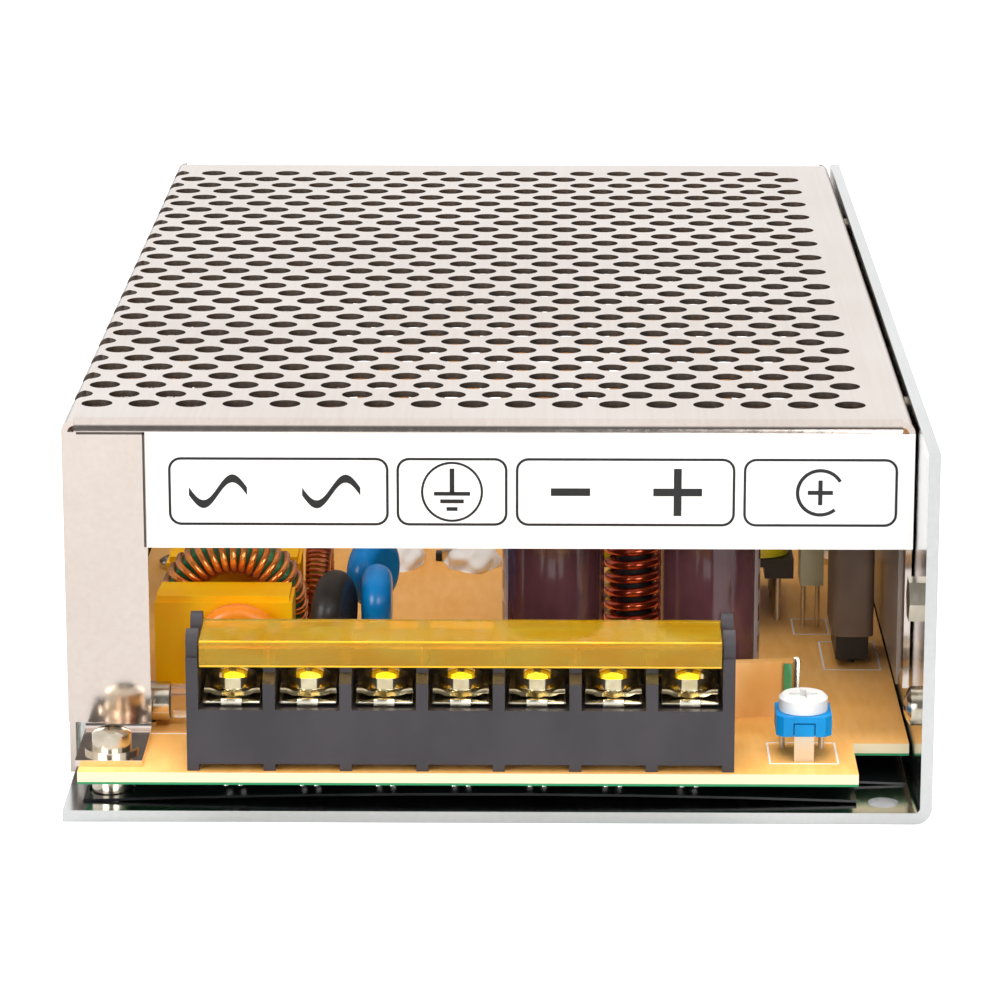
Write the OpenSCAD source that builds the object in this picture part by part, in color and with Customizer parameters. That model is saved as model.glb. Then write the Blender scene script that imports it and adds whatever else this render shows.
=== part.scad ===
// Mesh case switching power supply: a folded base with one full-height side, a folded
// perforated cover, a circuit board on standoffs and a screw terminal block at the front.
// X runs to the right, Y to the back and Z up. The terminals face -Y. The origin is the
// centre of the underside.

/* [Case] */
// Overall width of the case
case_w = 110; // [106:1:120]
// Overall length of the case, floor front edge to rear face
case_l = 197; // [190:1:220]
// Overall height of the case
case_h = 48; // [46:1:56]
// Thickness of the base sheet
base_t = 1.5; // [1.2:0.1:2]
// Outside bend radius of the base sheet
base_bend = 2.2; // [2.1:0.1:2.6]
// Height of the low left flange of the base
flange_h = 9; // [8:0.5:11]
// Length of floor that stands open in front of the cover
porch = 16.5; // [16:0.5:20]
// Thickness of the cover sheet
cover_t = 0.8; // [0.6:0.1:1]
// Outside bend radius of the cover sheet
cover_bend = 1.6; // [1.4:0.1:2]
// Gap between the cover and the sheets that it meets
cover_gap = 0.3; // [0.2:0.1:0.4]

/* [Perforation] */
// Diameter of one perforation
hole_d = 4; // [3:0.1:4.4]
// Distance between neighbouring perforations
hole_pitch = 6.05; // [5.8:0.05:8]
// Least distance from the end rows to the front and rear faces
mesh_margin = 8.5; // [8:0.5:12]

/* [Cover front and sides] */
// Height of the front flap that carries the label
flap_h = 16.7; // [14:0.1:18]
// Width of the front left post
post_w = 10.7; // [10:0.1:12]
// Width of the screw tab at the foot of the post
tab_w = 8.5; // [8:0.1:9]
// Length of the screw tab
tab_l = 13.4; // [12.5:0.1:14]
// Height of the rear part of the right flange of the cover
side_flange_h = 8; // [7:0.5:10]
// Clearance under the deep front part of the right flange
deep_flange_z = 12.5; // [12:0.5:16]
// Length of the deep front part of the right flange
deep_flange_l = 56; // [50:1:60]
// Thickness of the front label
label_t = 0.15; // [0.1:0.05:0.2]

/* [Fasteners] */
// Radius of the case screws
screw_r = 1.5; // [1.4:0.1:1.6]
// Head radius of the countersunk case screws
flat_head_r = 2.7; // [2.5:0.1:2.9]
// Head radius of the pan-head board screws
pan_head_r = 2.5; // [2.3:0.1:2.8]
// Head height of the pan-head board screws
pan_head_h = 1.9; // [1.5:0.1:2.2]
// Thread core radius of the M4 mounting holes
mount_r = 1.65; // [1.6:0.05:1.8]
// Spacing of the bottom mounting holes across the case
mount_span_x = 50; // [40:1:60]
// Spacing of the bottom mounting holes along the case
mount_span_y = 150; // [120:1:155]
// Radius of the open corner hole in the floor
corner_hole_r = 2; // [1.5:0.1:2.2]

/* [Circuit board] */
// Thickness of the circuit board
board_t = 1.6; // [1.2:0.1:2]
// Height of the standoffs
standoff_h = 3.2; // [3:0.1:4]
// Outside radius of the standoffs
standoff_r = 2.6; // [2.4:0.1:2.8]
// Gap between the board and the sheets beside it
board_gap = 0.4; // [0.3:0.1:0.6]
// Width of the notch in the front right corner of the board
notch_w = 7.3; // [7:0.1:8]
// Length of the notch in the front right corner of the board
notch_l = 12.7; // [12:0.1:14]
// Thickness of the insulating films
film_t = 0.3; // [0.2:0.05:0.4]
// Height that the bottom film bows up at its middle
film_bow = 1; // [0.5:0.1:1.5]

/* [Terminal block] */
// Number of ways
ways = 7; // [3:1:7]
// Distance from one way to the next
way_pitch = 9.6; // [9.2:0.1:9.8]
// Thickness of the end walls and dividers
divider_t = 1.5; // [1.2:0.1:1.8]
// Depth of the block, front to back
block_l = 13.5; // [13:0.1:14]
// Height of the deck that carries the contact plates
deck_h = 7.8; // [7.5:0.1:8.5]
// Height of the feet
foot_h = 0.9; // [0.5:0.1:1.2]
// Height of the dividers
divider_h = 15.4; // [15:0.1:15.6]
// Height of the closed lid
lid_h = 17; // [16.9:0.1:17.4]
// Thickness of the lid
lid_t = 1.2; // [1:0.1:1.3]
// Depth of the lid, front to back
lid_l = 10.5; // [10:0.1:11]
// Height of the lid's front skirt
skirt_h = 3.4; // [3:0.1:3.5]
// Radius of the lid's hinge pins
hinge_r = 0.6; // [0.5:0.05:0.7]
// Radial clearance of the hinge pins
hinge_gap = 0.05; // [0.04:0.01:0.08]
// Thickness of the contact plates
plate_t = 0.8; // [0.6:0.1:1]
// Thickness of the clamp washers
clamp_t = 1.1; // [0.9:0.1:1.3]
// Head radius of the terminal screws
clamp_head_r = 2.9; // [2.7:0.1:3]
// Head height of the terminal screws
clamp_head_h = 2.4; // [2:0.1:2.6]
// Shank radius of the terminal screws
clamp_shank_r = 1.75; // [1.5:0.05:1.8]
// Shank length of the terminal screws under the head
clamp_shank_l = 6; // [5:0.1:6.2]

/* [Output trimmer] */
// Width of the trimmer body
trimmer_w = 7; // [6:0.1:7.4]
// Height of the trimmer body
trimmer_h = 2.6; // [2:0.1:3]
// Height of the trimmer's legs
trimmer_leg_h = 3.3; // [3:0.1:4]
// Radius of the trimmer rotor
rotor_r = 3.1; // [2.6:0.1:3.2]
// Height of the trimmer rotor above the body
rotor_h = 2; // [1.5:0.1:2.5]

/* [Mains side] */
// Radius of the fuse caps
fuse_r = 2.6; // [2.4:0.1:2.7]
// Length of the fuse
fuse_l = 20; // [18:0.5:22]
// Width of each boxed capacitor
xcap_w = 18; // [16:0.5:19]
// Depth of each boxed capacitor
xcap_l = 7.5; // [7:0.1:8]
// Height of each boxed capacitor
xcap_h = 15; // [13:0.5:17]
// Outer radius of the line choke core
choke_r = 9.2; // [8.8:0.1:9.4]
// Inner radius of the line choke core
choke_bore_r = 5.6; // [5.2:0.1:5.8]
// Width of the line choke core
choke_w = 6; // [5:0.1:6.5]
// Radius of the choke wire
choke_wire_r = 0.45; // [0.3:0.05:0.5]
// Number of turns on the line choke
choke_turns = 24; // [10:1:24]
// Radius of the disc parts
disc_r = 5.8; // [5:0.1:6]
// Thickness of the disc parts
disc_t = 2.8; // [2.4:0.1:3]
// Radius of the bulk capacitors
bulk_r = 11; // [9:0.5:12.5]
// Height of the bulk capacitors
bulk_h = 32; // [25:0.5:34]

/* [Power and output side] */
// Length of the transformer core along the case
core_w = 36; // [34:0.5:38]
// Thickness of the transformer core across the case
core_l = 13; // [11:0.5:14]
// Height of the transformer core
core_h = 28; // [26:0.5:29]
// Thickness of the core's outer legs and yokes
core_leg = 6; // [5.5:0.1:6.3]
// Radius of the output capacitors
out_r = 6.7; // [6:0.1:6.8]
// Height of the output capacitors
out_h = 25; // [20:0.5:31]
// Radius of the filter rod
rod_r = 2.4; // [2:0.1:2.5]
// Radius of the filter coil's wire
coil_wire_r = 0.65; // [0.5:0.05:0.7]
// Number of turns of the filter coil
coil_turns = 10; // [6:1:10]
// Distance between the filter coil's turns
coil_pitch = 1.9; // [1.7:0.05:2]

/* [Hidden] */
$fn = 32;
fit = 0.05;   // radial clearance of screws in their holes
over = 1;     // how far a cutter runs past the face that it cuts

// case planes
x0 = -case_w / 2;
x1 = case_w / 2;
y0 = -case_l / 2;
y1 = case_l / 2;
wall_in = x1 - base_t;
cover_y0 = y0 + porch;
cover_x1 = wall_in - cover_gap;
base_x0 = x0 + cover_t;
base_y1 = y1 - cover_t - cover_gap;
flange_y0 = cover_y0 + 4;
skirt_z = 0.8;
deep_y1 = cover_y0 + deep_flange_l;

// board planes
board_z = base_t + standoff_h;
board_top = board_z + board_t;
board_x0 = base_x0 + base_t + board_gap;
board_x1 = wall_in - board_gap;
board_y0 = y0 + 0.8;
board_y1 = base_y1 - 3;
film_x0 = base_x0 + base_bend + 0.1;
film_x1 = x1 - base_bend - 0.1;

// board screws: the first is the corner screw through the cover's tab
tab_x1 = x0 + post_w;
corner_at = [tab_x1 - tab_w / 2, cover_y0 - tab_l + 4.4];
left_line = board_x0 + 4.6;
right_line = board_x1 - 4.2;
mid_y = (cover_y0 + y1) / 2;
board_spots = [corner_at, [left_line, mid_y - 10], [right_line, mid_y - 6],
  [left_line, board_y1 - 6], [right_line, board_y1 - 6]];

// case screws and side fasteners
screw_ys = [cover_y0 + 26, y1 - 32];
left_screw_z = 5.6;
right_screw_z = case_h - side_flange_h / 2 - 0.4;
nut_z = 27.9;
nut_r = 2.9;
nut_h = 1.7;
side_thread_r = 1.25;
nut_ys = [y0 + 5.5, y1 - 12];
nut_shank_r = 2;
earth_at = [y0 + 6.5, 13.6];
corner_hole_at = [x1 - 5.8, y0 + 4.2];

// terminal block
block_w = ways * way_pitch + divider_t;
block_shift = -4.15;   // the block stands left of the case's middle
block_x0 = block_shift - block_w / 2;
block_y0 = y0 + 1.5;
deck_z = board_top + deck_h;
lid_top = board_top + lid_h;
hinge_y = block_y0 + lid_l - lid_t / 2;
hinge_z = lid_top - lid_t / 2;
lug_r = 1.6;
clamp_y = block_y0 + 6.4;
plate_w = way_pitch - divider_t - 0.7;
clamp_w = plate_w - 0.4;
clamp_l = 6.4;
clamp_z = deck_z + plate_t;
function way_x(i) = block_x0 + divider_t / 2 + (i - 0.5) * way_pitch;

// output trimmer: between the block and the board's notch
trimmer_at = [(block_x0 + block_w + board_x1 - notch_w) / 2 + 1.2, y0 + 9.4];

// mains side: one behind the other from the cover's front, all from the board's left edge
lean = 0.4;   // least gap between neighbouring parts
xcap_x0 = board_x0 + 7.7;
xcap_x = xcap_x0 + xcap_w / 2;
fuse_at = [board_x0 + 4.1 + fuse_l / 2, cover_y0 + cover_t + fuse_r + 1];
fuse_z = board_top + fuse_r + 0.5;
varistor_y = fuse_at[1] + fuse_r + lean + disc_t / 2;
xcap_y = varistor_y + disc_t / 2 + lean;
turn_skew = 0.4;   // how far a turn's straight side ends inside the core's face
turn_r = (choke_r - choke_bore_r) / 2 + choke_wire_r + 0.1;
turn_reach = turn_r + choke_wire_r - turn_skew;
choke_at = [xcap_x0 + 9.4, xcap_y + xcap_l + lean + turn_reach + choke_w / 2];
choke_z = board_top + choke_r + 2 * choke_wire_r + lean;
xcap2_y = choke_at[1] + choke_w / 2 + turn_reach + lean;
ring_r = 8;
ring_bore_r = 4.2;
ring_t = 3.6;
ring_at = [xcap_x0 + xcap_w + lean + ring_t / 2, choke_at[1] + choke_w / 2 + turn_reach + ring_r + 0.6];
thermistor_t = 4;
thermistor_at = [xcap_x0 + xcap_w + 5.2, xcap_y + 5.4];
y_disc_r = 5;
y_disc_t = 4;
y_cap_ats = [[thermistor_at[0] + 5.5, xcap_y + 9.9, 7, 90], [thermistor_at[0] + 4.6, xcap_y + 20.4, 8.4, 60]];
bridge = [4.6, 22, 18];
bridge_at = [board_x0 + 7.8, cover_y0 + 56];
bulk_x = board_x0 + 5.3 + bulk_r;
bulk_ats = [[bulk_x, y1 - 70.5], [bulk_x, y1 - 70.5 + 2 * bulk_r + 4]];

// output side: from the cover's front and the board's right edge
out_y = cover_y0 + 18;
out_gap = 7.1;
out_x = board_x1 - 25.1;
out_ats = [[out_x - 2 * out_r - out_gap, out_y], [out_x, out_y]];
rod_at = [out_x - out_r - out_gap / 2 + 0.6, out_y + 8.5];
daughter = [11.2, 1.6, 7.4];
daughter_at = [block_x0 + block_w - 2.2, cover_y0 + 7.6];
rect_at = [wall_in - 5.5, cover_y0 + 36];
rect = [4.4, 10, 14];
suppressor = [3.2, 6, 12];
suppressor_at = [wall_in - 10.1, cover_y0 + 50];
wall_parts_y = [y1 - 68.5, y1 - 42.5];
wall_parts_z = 15;
wall_part = [4.4, 10, 15];
wall_part_step = 7;   // from a clamp screw to the middle of the part beside it
clamp_bar_z = wall_parts_z + 11;
bar_t = 2;
pad_x = wall_in - film_t;

// transformer: its coil ends short of the suppressor
trans_win_w = (core_w - 4 * core_leg) / 2;
coil_gap = 0.4;
coil_build = 9.6;
bob_t = 1;
bob_x = core_leg + coil_gap + bob_t;
bob_y = core_l / 2 + coil_gap + bob_t;
flange_x = core_leg + trans_win_w - coil_gap;
flange_y = bob_y + coil_build;
trans_at = [suppressor_at[0] - suppressor[0] / 2 - 0.8 - flange_y, cover_y0 + 43.5 + core_w / 2];
trans_z = board_top + 2.4;
win_z = trans_z + core_leg;
win_h = core_h - 2 * core_leg;
pin_pitch = 4;

// ---- shared shapes ----
module along_y(a, b) translate([0, b, 0]) rotate([90, 0, 0]) linear_extrude(b - a) children();
module along_x(a, b) translate([a, 0, 0]) rotate([90, 0, 90]) linear_extrude(b - a) children();
module block_at(c, s) translate([c[0] - s[0] / 2, c[1] - s[1] / 2, c[2]]) cube(s);

// quarter ring about the origin, in the quadrant of the signs sx and sy
module bend_2d(r, t, sx, sy) intersection() {
  difference() {
    circle(r);
    circle(r - t);
  }
  translate([sx < 0 ? -r : 0, sy < 0 ? -r : 0]) square(r);
}

// rectangle with round corners, centred
module round_rect(w, l, r) {
  square([w - 2 * r, l], center = true);
  square([w, l - 2 * r], center = true);
  for (i = [-1, 1], j = [-1, 1]) translate([i * (w / 2 - r), j * (l / 2 - r)]) circle(r);
}

// countersunk screw along -Z, its head flush with Z = 0
module flat_screw(l, gap = 0) {
  cone_h = flat_head_r - screw_r;
  translate([0, 0, -cone_h]) cylinder(h = cone_h, r1 = screw_r + gap, r2 = flat_head_r + gap);
  translate([0, 0, -l]) cylinder(h = l - cone_h, r = screw_r + gap);
}

// pan head that stands on Z = 0, with a cross recess
module pan_head(r, h, slot) difference() {
  intersection() {
    cylinder(h = h, r = r);
    translate([0, 0, h - 1.6 * r]) sphere(r = 1.6 * r, $fn = 64);
  }
  for (a = [0, 90]) rotate([0, 0, a])
    translate([-slot / 2, -slot / 8, h * 0.45]) cube([slot, slot / 4, h]);
}

module pan_screw(l) {
  pan_head(pan_head_r, pan_head_h, 2.6);
  translate([0, 0, -l]) cylinder(h = l, r = screw_r);
}

module tube(r, bore, h) difference() {
  cylinder(h = h, r = r);
  translate([0, 0, -over]) cylinder(h = h + 2 * over, r = bore);
}

// wire lead from the board up to a part
module lead(x, y, h, r = 0.35) translate([x, y, board_top]) cylinder(h = h, r = r, $fn = 16);

// upright disc with a round rim, standing on two leads, turned by angle a
module disc_part(x, y, r, t, lift, a) translate([x, y, board_top]) rotate([0, 0, a]) {
  translate([0, t / 2, lift + r]) rotate([90, 0, 0]) {
    cylinder(h = t, r = r - t / 2);
    rotate_extrude($fn = 48) translate([r - t / 2, t / 2]) circle(t / 2);
  }
  for (s = [-1, 1]) translate([s * r * 0.45, 0, 0]) cylinder(h = lift + r * 0.5, r = 0.35, $fn = 16);
}

// can with a rolled foot groove and a rimmed, dished top
module can(r, h) rotate_extrude($fn = 64) polygon([[0, 0], [r - 0.6, 0], [r, 0.6], [r, 2.4],
  [r - 0.5, 2.9], [r - 0.5, 3.3], [r, 3.8], [r, h - 0.7], [r - 0.7, h], [r - 1.5, h],
  [r - 1.8, h - 0.5], [0, h - 0.5]]);

// ---- folded base ----
module base_profile(x_left) {
  translate([x_left, 0]) square([x1 - base_bend - x_left, base_t]);
  translate([x1 - base_bend, base_bend]) bend_2d(base_bend, base_t, 1, -1);
}

module base_chassis() color([0.72, 0.74, 0.75]) difference() {
  union() {
    along_y(y0, y1) translate([wall_in, base_bend]) square([base_t, case_h - base_bend]);
    along_y(y0, flange_y0) base_profile(base_x0);
    along_y(flange_y0, base_y1) {
      base_profile(base_x0 + base_bend);
      translate([base_x0 + base_bend, base_bend]) bend_2d(base_bend, base_t, -1, -1);
      translate([base_x0, base_bend]) square([base_t, flange_h - base_bend]);
    }
  }
  for (i = [-1, 1], j = [-1, 1])
    translate([i * mount_span_x / 2, j * mount_span_y / 2, -over]) cylinder(h = 4, r = mount_r);
  translate([corner_hole_at[0], corner_hole_at[1], -over]) cylinder(h = 4, r = corner_hole_r);
  for (y = screw_ys) {
    translate([x0, y, left_screw_z]) rotate([0, -90, 0]) flat_screw(6, fit);
    translate([x1, y, right_screw_z]) rotate([0, 90, 0]) flat_screw(6, fit);
  }
  for (y = wall_parts_y)
    translate([x1, y, clamp_bar_z]) rotate([0, 90, 0]) flat_screw(6, fit);
  for (y = nut_ys) translate([wall_in - over, y, nut_z]) rotate([0, 90, 0])
    cylinder(h = 4, r = nut_shank_r + fit);
  translate([wall_in - over, earth_at[0], earth_at[1]]) rotate([0, 90, 0])
    cylinder(h = 4, r = screw_r + fit);
}

// ---- folded, perforated cover ----
row_pitch = hole_pitch * sqrt(3) / 2;
n_rows = floor((y1 - cover_y0 - 2 * mesh_margin) / row_pitch) + 1;
row_y0 = (cover_y0 + y1) / 2 - (n_rows - 1) / 2 * row_pitch;
col_x0 = x0 + 3.7;
n_cols = floor((cover_x1 - col_x0 - 5) / hole_pitch) + 1;
// the flat sheet's pattern runs on round the bend: a bend takes up 2 r - pi / 2 of its middle
bend_loss = 2 * cover_bend - PI / 2 * (cover_bend - cover_t / 2);
side_z = case_h - hole_pitch + (col_x0 - x0) - bend_loss;
side_margin = 4.5;
n_side = floor((side_z - flange_h - side_margin) / hole_pitch) + 1;
bend_in = 0.66;
rear_z = case_h - 7.5;
n_rear = floor((rear_z - flange_h) / row_pitch) + 1;

// staggered field of holes: n columns from a, and one fewer half a pitch on in odd rows
module mesh_2d(a, b, n, rows, less = 1) for (r = [0 : rows - 1], c = [0 : n - 1 - less * (r % 2)])
  translate([a + (c + (r % 2) / 2) * hole_pitch, b + r * row_pitch]) circle(d = hole_d);

module top_sheet() translate([0, 0, case_h - cover_t]) linear_extrude(cover_t) difference() {
  translate([x0 + cover_bend, cover_y0 + cover_bend])
    square([cover_x1 - x0 - 2 * cover_bend, y1 - cover_y0 - 2 * cover_bend]);
  mesh_2d(col_x0, row_y0, n_cols, n_rows);
  for (r = [1 : 2 : n_rows - 1]) translate([x0 + bend_in, row_y0 + r * row_pitch]) circle(d = hole_d);
}

module left_sheet() along_x(x0, x0 + cover_t) difference() {
  translate([cover_y0 + cover_t + cover_gap, skirt_z])
    square([y1 - cover_y0 - 2 * (cover_t + cover_gap), case_h - cover_bend - skirt_z]);
  translate([row_y0, side_z]) rotate(-90) mesh_2d(0, 0, n_side, n_rows);
  for (r = [1 : 2 : n_rows - 1]) translate([row_y0 + r * row_pitch, case_h - bend_in]) circle(d = hole_d);
}

// the bend along the left edge, with the holes that run round it
module left_bend() difference() {
  along_y(cover_y0, y1) translate([x0 + cover_bend, case_h - cover_bend])
    bend_2d(cover_bend, cover_t, -1, 1);
  for (r = [1 : 2 : n_rows - 1]) translate([x0, row_y0 + r * row_pitch, case_h]) {
    translate([bend_in, 0, -cover_bend]) cylinder(d = hole_d, h = cover_bend + over);
    translate([-over, 0, -bend_in]) rotate([0, 90, 0]) cylinder(d = hole_d, h = cover_bend + over);
  }
}

module rear_sheet() along_y(y1 - cover_t, y1) difference() {
  translate([x0, skirt_z]) square([cover_x1 - x0, case_h - cover_bend - skirt_z]);
  translate([0, rear_z]) mirror([0, 1]) mesh_2d(col_x0, 0, n_cols, n_rear);
}

module cover_bends() {
  along_x(x0 + cover_bend, cover_x1 - cover_bend) {
    translate([cover_y0 + cover_bend, case_h - cover_bend]) bend_2d(cover_bend, cover_t, -1, 1);
    translate([y1 - cover_bend, case_h - cover_bend]) bend_2d(cover_bend, cover_t, 1, 1);
  }
  along_y(cover_y0, y1) translate([cover_x1 - cover_bend, case_h - cover_bend])
    bend_2d(cover_bend, cover_t, 1, 1);
}

module right_flange() along_x(cover_x1 - cover_t, cover_x1) {
  translate([cover_y0 + cover_t + cover_gap, case_h - side_flange_h])
    square([y1 - cover_y0 - 2 * (cover_t + cover_gap), side_flange_h - cover_bend]);
  translate([cover_y0 + cover_t + cover_gap, deep_flange_z])
    square([deep_y1 - cover_y0 - cover_t - cover_gap, case_h - side_flange_h / 2 - deep_flange_z]);
}

module front_sheet() along_y(cover_y0, cover_y0 + cover_t) {
  translate([x0, case_h - flap_h]) square([cover_x1 - x0, flap_h - cover_bend]);
  translate([x0, board_top + cover_bend])
    square([post_w, case_h - flap_h / 2 - board_top - cover_bend]);
}

module post_tab() difference() {
  along_x(tab_x1 - tab_w, tab_x1) {
    translate([cover_y0 + cover_t - cover_bend, board_top + cover_bend])
      bend_2d(cover_bend, cover_t, 1, -1);
    translate([cover_y0 - tab_l, board_top])
      square([tab_l + cover_t - cover_bend, cover_t]);
  }
  translate([corner_at[0], corner_at[1], board_top - over]) cylinder(h = 4, r = screw_r + 0.2);
}

module mesh_cover() color([0.83, 0.8, 0.76]) difference() {
  union() {
    top_sheet();
    left_sheet();
    left_bend();
    rear_sheet();
    cover_bends();
    right_flange();
    front_sheet();
    post_tab();
  }
  for (y = screw_ys) {
    translate([x0, y, left_screw_z]) rotate([0, -90, 0]) flat_screw(6, fit);
    translate([x1, y, right_screw_z]) rotate([0, 90, 0]) flat_screw(6, fit);
  }
}

module front_label() color([0.97, 0.97, 0.96]) along_y(cover_y0 - label_t, cover_y0)
  translate([tab_x1, case_h - flap_h]) square([cover_x1 - tab_x1, flap_h - cover_bend]);

// ---- films, board and its fasteners ----
module insulating_film() color([0.08, 0.08, 0.09]) difference() {
  half = (film_x1 - film_x0) / 2;
  bow_r = (half * half + film_bow * film_bow) / (2 * film_bow);
  along_y(y0 + 3.5, base_y1 - 2) intersection() {
    translate([(film_x0 + film_x1) / 2, base_t + film_bow - bow_r]) difference() {
      circle(bow_r + film_t, $fn = 1440);
      circle(bow_r, $fn = 1440);
    }
    translate([film_x0, base_t]) square([film_x1 - film_x0, film_bow + 2 * film_t]);
  }
  for (p = board_spots) translate([p[0], p[1], 0]) cylinder(h = board_z, r = standoff_r + 0.4);
  for (i = [-1, 1], j = [-1, 1])
    translate([i * mount_span_x / 2, j * mount_span_y / 2, 0]) cylinder(h = board_z, r = 2.6);
  translate([board_x1 - notch_w, y0, 0]) cube([notch_w + over, notch_l - 1.5, board_z]);
}

module side_film() color([0.06, 0.06, 0.07])
  along_x(cover_x1 - cover_t - film_t, cover_x1 - cover_t)
    translate([cover_y0 + 8, deep_flange_z - 1.6])
      square([deep_flange_l - 9, case_h - side_flange_h - deep_flange_z]);

module circuit_board() color([0.87, 0.66, 0.42]) difference() {
  translate([board_x0, board_y0, board_z])
    cube([board_x1 - board_x0, board_y1 - board_y0, board_t]);
  translate([board_x1 - notch_w, board_y0 - over, 0]) cube([notch_w + over, notch_l + over, board_top + over]);
  for (p = board_spots) translate([p[0], p[1], 0]) cylinder(h = board_top + over, r = screw_r + 0.2);
}

module board_standoffs() color([0.75, 0.79, 0.84])
  for (p = board_spots) translate([p[0], p[1], base_t]) tube(standoff_r, screw_r + fit, standoff_h);

module board_screws() color([0.8, 0.8, 0.8])
  for (i = [1 : len(board_spots) - 1])
    translate([board_spots[i][0], board_spots[i][1], board_top]) pan_screw(board_t + standoff_h - 0.3);

flat_washer_r = 3.4;
flat_washer_t = 0.5;
spring_washer_t = 0.8;
module flat_washer() color([0.82, 0.81, 0.78])
  translate([corner_at[0], corner_at[1], board_top + cover_t])
    tube(flat_washer_r, screw_r + 0.1, flat_washer_t);

module spring_washer() color([0.78, 0.77, 0.74])
  translate([corner_at[0], corner_at[1], board_top + cover_t + flat_washer_t]) difference() {
    tube(pan_head_r, screw_r + 0.1, spring_washer_t);
    rotate([0, 0, 200]) translate([0, -0.15, -over]) cube([pan_head_r + over, 0.3, spring_washer_t + 2 * over]);
  }

module corner_screw() color([0.85, 0.84, 0.8])
  translate([corner_at[0], corner_at[1], board_top + cover_t + flat_washer_t + spring_washer_t])
    pan_screw(cover_t + flat_washer_t + spring_washer_t + board_t + standoff_h - 0.3);

module cover_screws() color([0.8, 0.8, 0.8]) for (y = screw_ys) {
  translate([x0, y, left_screw_z]) rotate([0, -90, 0]) flat_screw(cover_t + base_t);
  translate([x1, y, right_screw_z]) rotate([0, 90, 0]) flat_screw(base_t + cover_gap + cover_t + 0.6);
}

module wall_nuts() color([0.88, 0.88, 0.88]) for (y = nut_ys)
  translate([wall_in, y, nut_z]) rotate([0, -90, 0]) difference() {
    union() {
      rotate([0, 0, 30]) cylinder(h = nut_h, r = nut_r, $fn = 6);
      translate([0, 0, -base_t]) cylinder(h = base_t + 0.5, r = nut_shank_r);
    }
    translate([0, 0, -base_t - over]) cylinder(h = base_t + nut_h + 2 * over, r = side_thread_r);
  }

module earth_screw() color([0.85, 0.85, 0.85])
  translate([wall_in, earth_at[0], earth_at[1]]) rotate([0, -90, 0]) pan_screw(base_t);

// ---- terminal block ----
// side view of an end wall: two round lugs, the rear one round the hinge
module end_wall_2d() {
  lug_z = lid_top - board_top - lid_t / 2;
  square([block_l, divider_h - 0.6]);
  for (y = [2.1, hinge_y - block_y0]) {
    translate([y, lug_z]) circle(lug_r);
    translate([y - lug_r, divider_h - 2]) square([2 * lug_r, lug_z - divider_h + 2]);
  }
}

// side view of a divider: full depth low down, set back behind the lid's skirt above
module divider_2d() polygon([[0, 0], [block_l, 0], [block_l, divider_h - 1.2],
  [block_l - 1.2, divider_h], [3, divider_h], [1.9, divider_h - 1], [1.9, lid_h - skirt_h - 1.2],
  [0, lid_h - skirt_h - 2.2]]);

module terminal_block() color([0.2, 0.2, 0.22]) difference() {
  union() {
    translate([block_x0, block_y0, board_top + foot_h]) cube([block_w, block_l, deck_h - foot_h]);
    translate([block_x0, block_y0, deck_z - 0.1]) cube([block_w, 1, 0.3]);
    translate([block_x0, block_y0 + block_l - 1.2, deck_z - 0.1]) cube([block_w, 1.2, divider_h - deck_h - 1.4]);
    translate([0, block_y0, board_top]) for (i = [1 : ways - 1])
      along_x(way_x(i) + way_pitch / 2 - divider_t / 2, way_x(i) + way_pitch / 2 + divider_t / 2)
        divider_2d();
    translate([0, block_y0, board_top]) for (x = [block_x0, block_x0 + block_w - divider_t])
      along_x(x, x + divider_t) end_wall_2d();
  }
  for (i = [1 : ways]) translate([way_x(i), clamp_y, deck_z + plate_t - clamp_shank_l])
    cylinder(h = clamp_shank_l + over, r = clamp_shank_r + 0.15);
  translate([block_x0 - over, hinge_y, hinge_z]) rotate([0, 90, 0])
    cylinder(h = block_w + 2 * over, r = hinge_r + hinge_gap);
}

lid_x0 = block_x0 + divider_t + 0.2;
lid_x1 = block_x0 + block_w - divider_t - 0.2;
pin_l = 1.3;
module terminal_lid() color([0.98, 0.72, 0.1, 0.7]) {
  along_x(lid_x0, lid_x1) {
    translate([block_y0, lid_top - lid_t]) square([hinge_y - block_y0, lid_t]);
    translate([hinge_y, hinge_z]) circle(lid_t / 2);
    translate([block_y0, lid_top - skirt_h]) square([1.1, skirt_h - lid_t / 2]);
  }
  translate([lid_x0 - pin_l, hinge_y, hinge_z]) rotate([0, 90, 0])
    cylinder(h = lid_x1 - lid_x0 + 2 * pin_l, r = hinge_r);
}

module contact_plates() color([0.85, 0.83, 0.75]) for (i = [1 : ways]) translate([way_x(i), 0, deck_z])
  difference() {
    union() {
      translate([-plate_w / 2, block_y0 + 1.4, 0]) cube([plate_w, block_l - 3, plate_t]);
      translate([-1.4, block_y0 + 1.4, 0]) cube([2.8, 0.6, plate_t + 0.6]);
    }
    translate([0, clamp_y, -over]) cylinder(h = 3, r = clamp_shank_r + 0.1);
  }

module clamp_washer(i) color([0.84, 0.8, 0.62]) translate([way_x(i), clamp_y, clamp_z]) difference() {
  union() {
    translate([-clamp_w / 2, -clamp_l / 2, 0]) cube([clamp_w, clamp_l, clamp_t]);
    for (s = [-1, 1]) translate([s * (clamp_w / 2 - 0.2) - 0.2, -clamp_l / 2, 0]) cube([0.4, clamp_l, clamp_t + 0.6]);
  }
  translate([0, 0, -over]) cylinder(h = clamp_t + 2 * over, r = clamp_shank_r + 0.1);
}

module terminal_screw(i) color([0.9, 0.86, 0.66]) translate([way_x(i), clamp_y, clamp_z + clamp_t]) {
  pan_head(clamp_head_r, clamp_head_h, 3.6);
  translate([0, 0, -clamp_shank_l]) cylinder(h = clamp_shank_l, r = clamp_shank_r);
}

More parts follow.
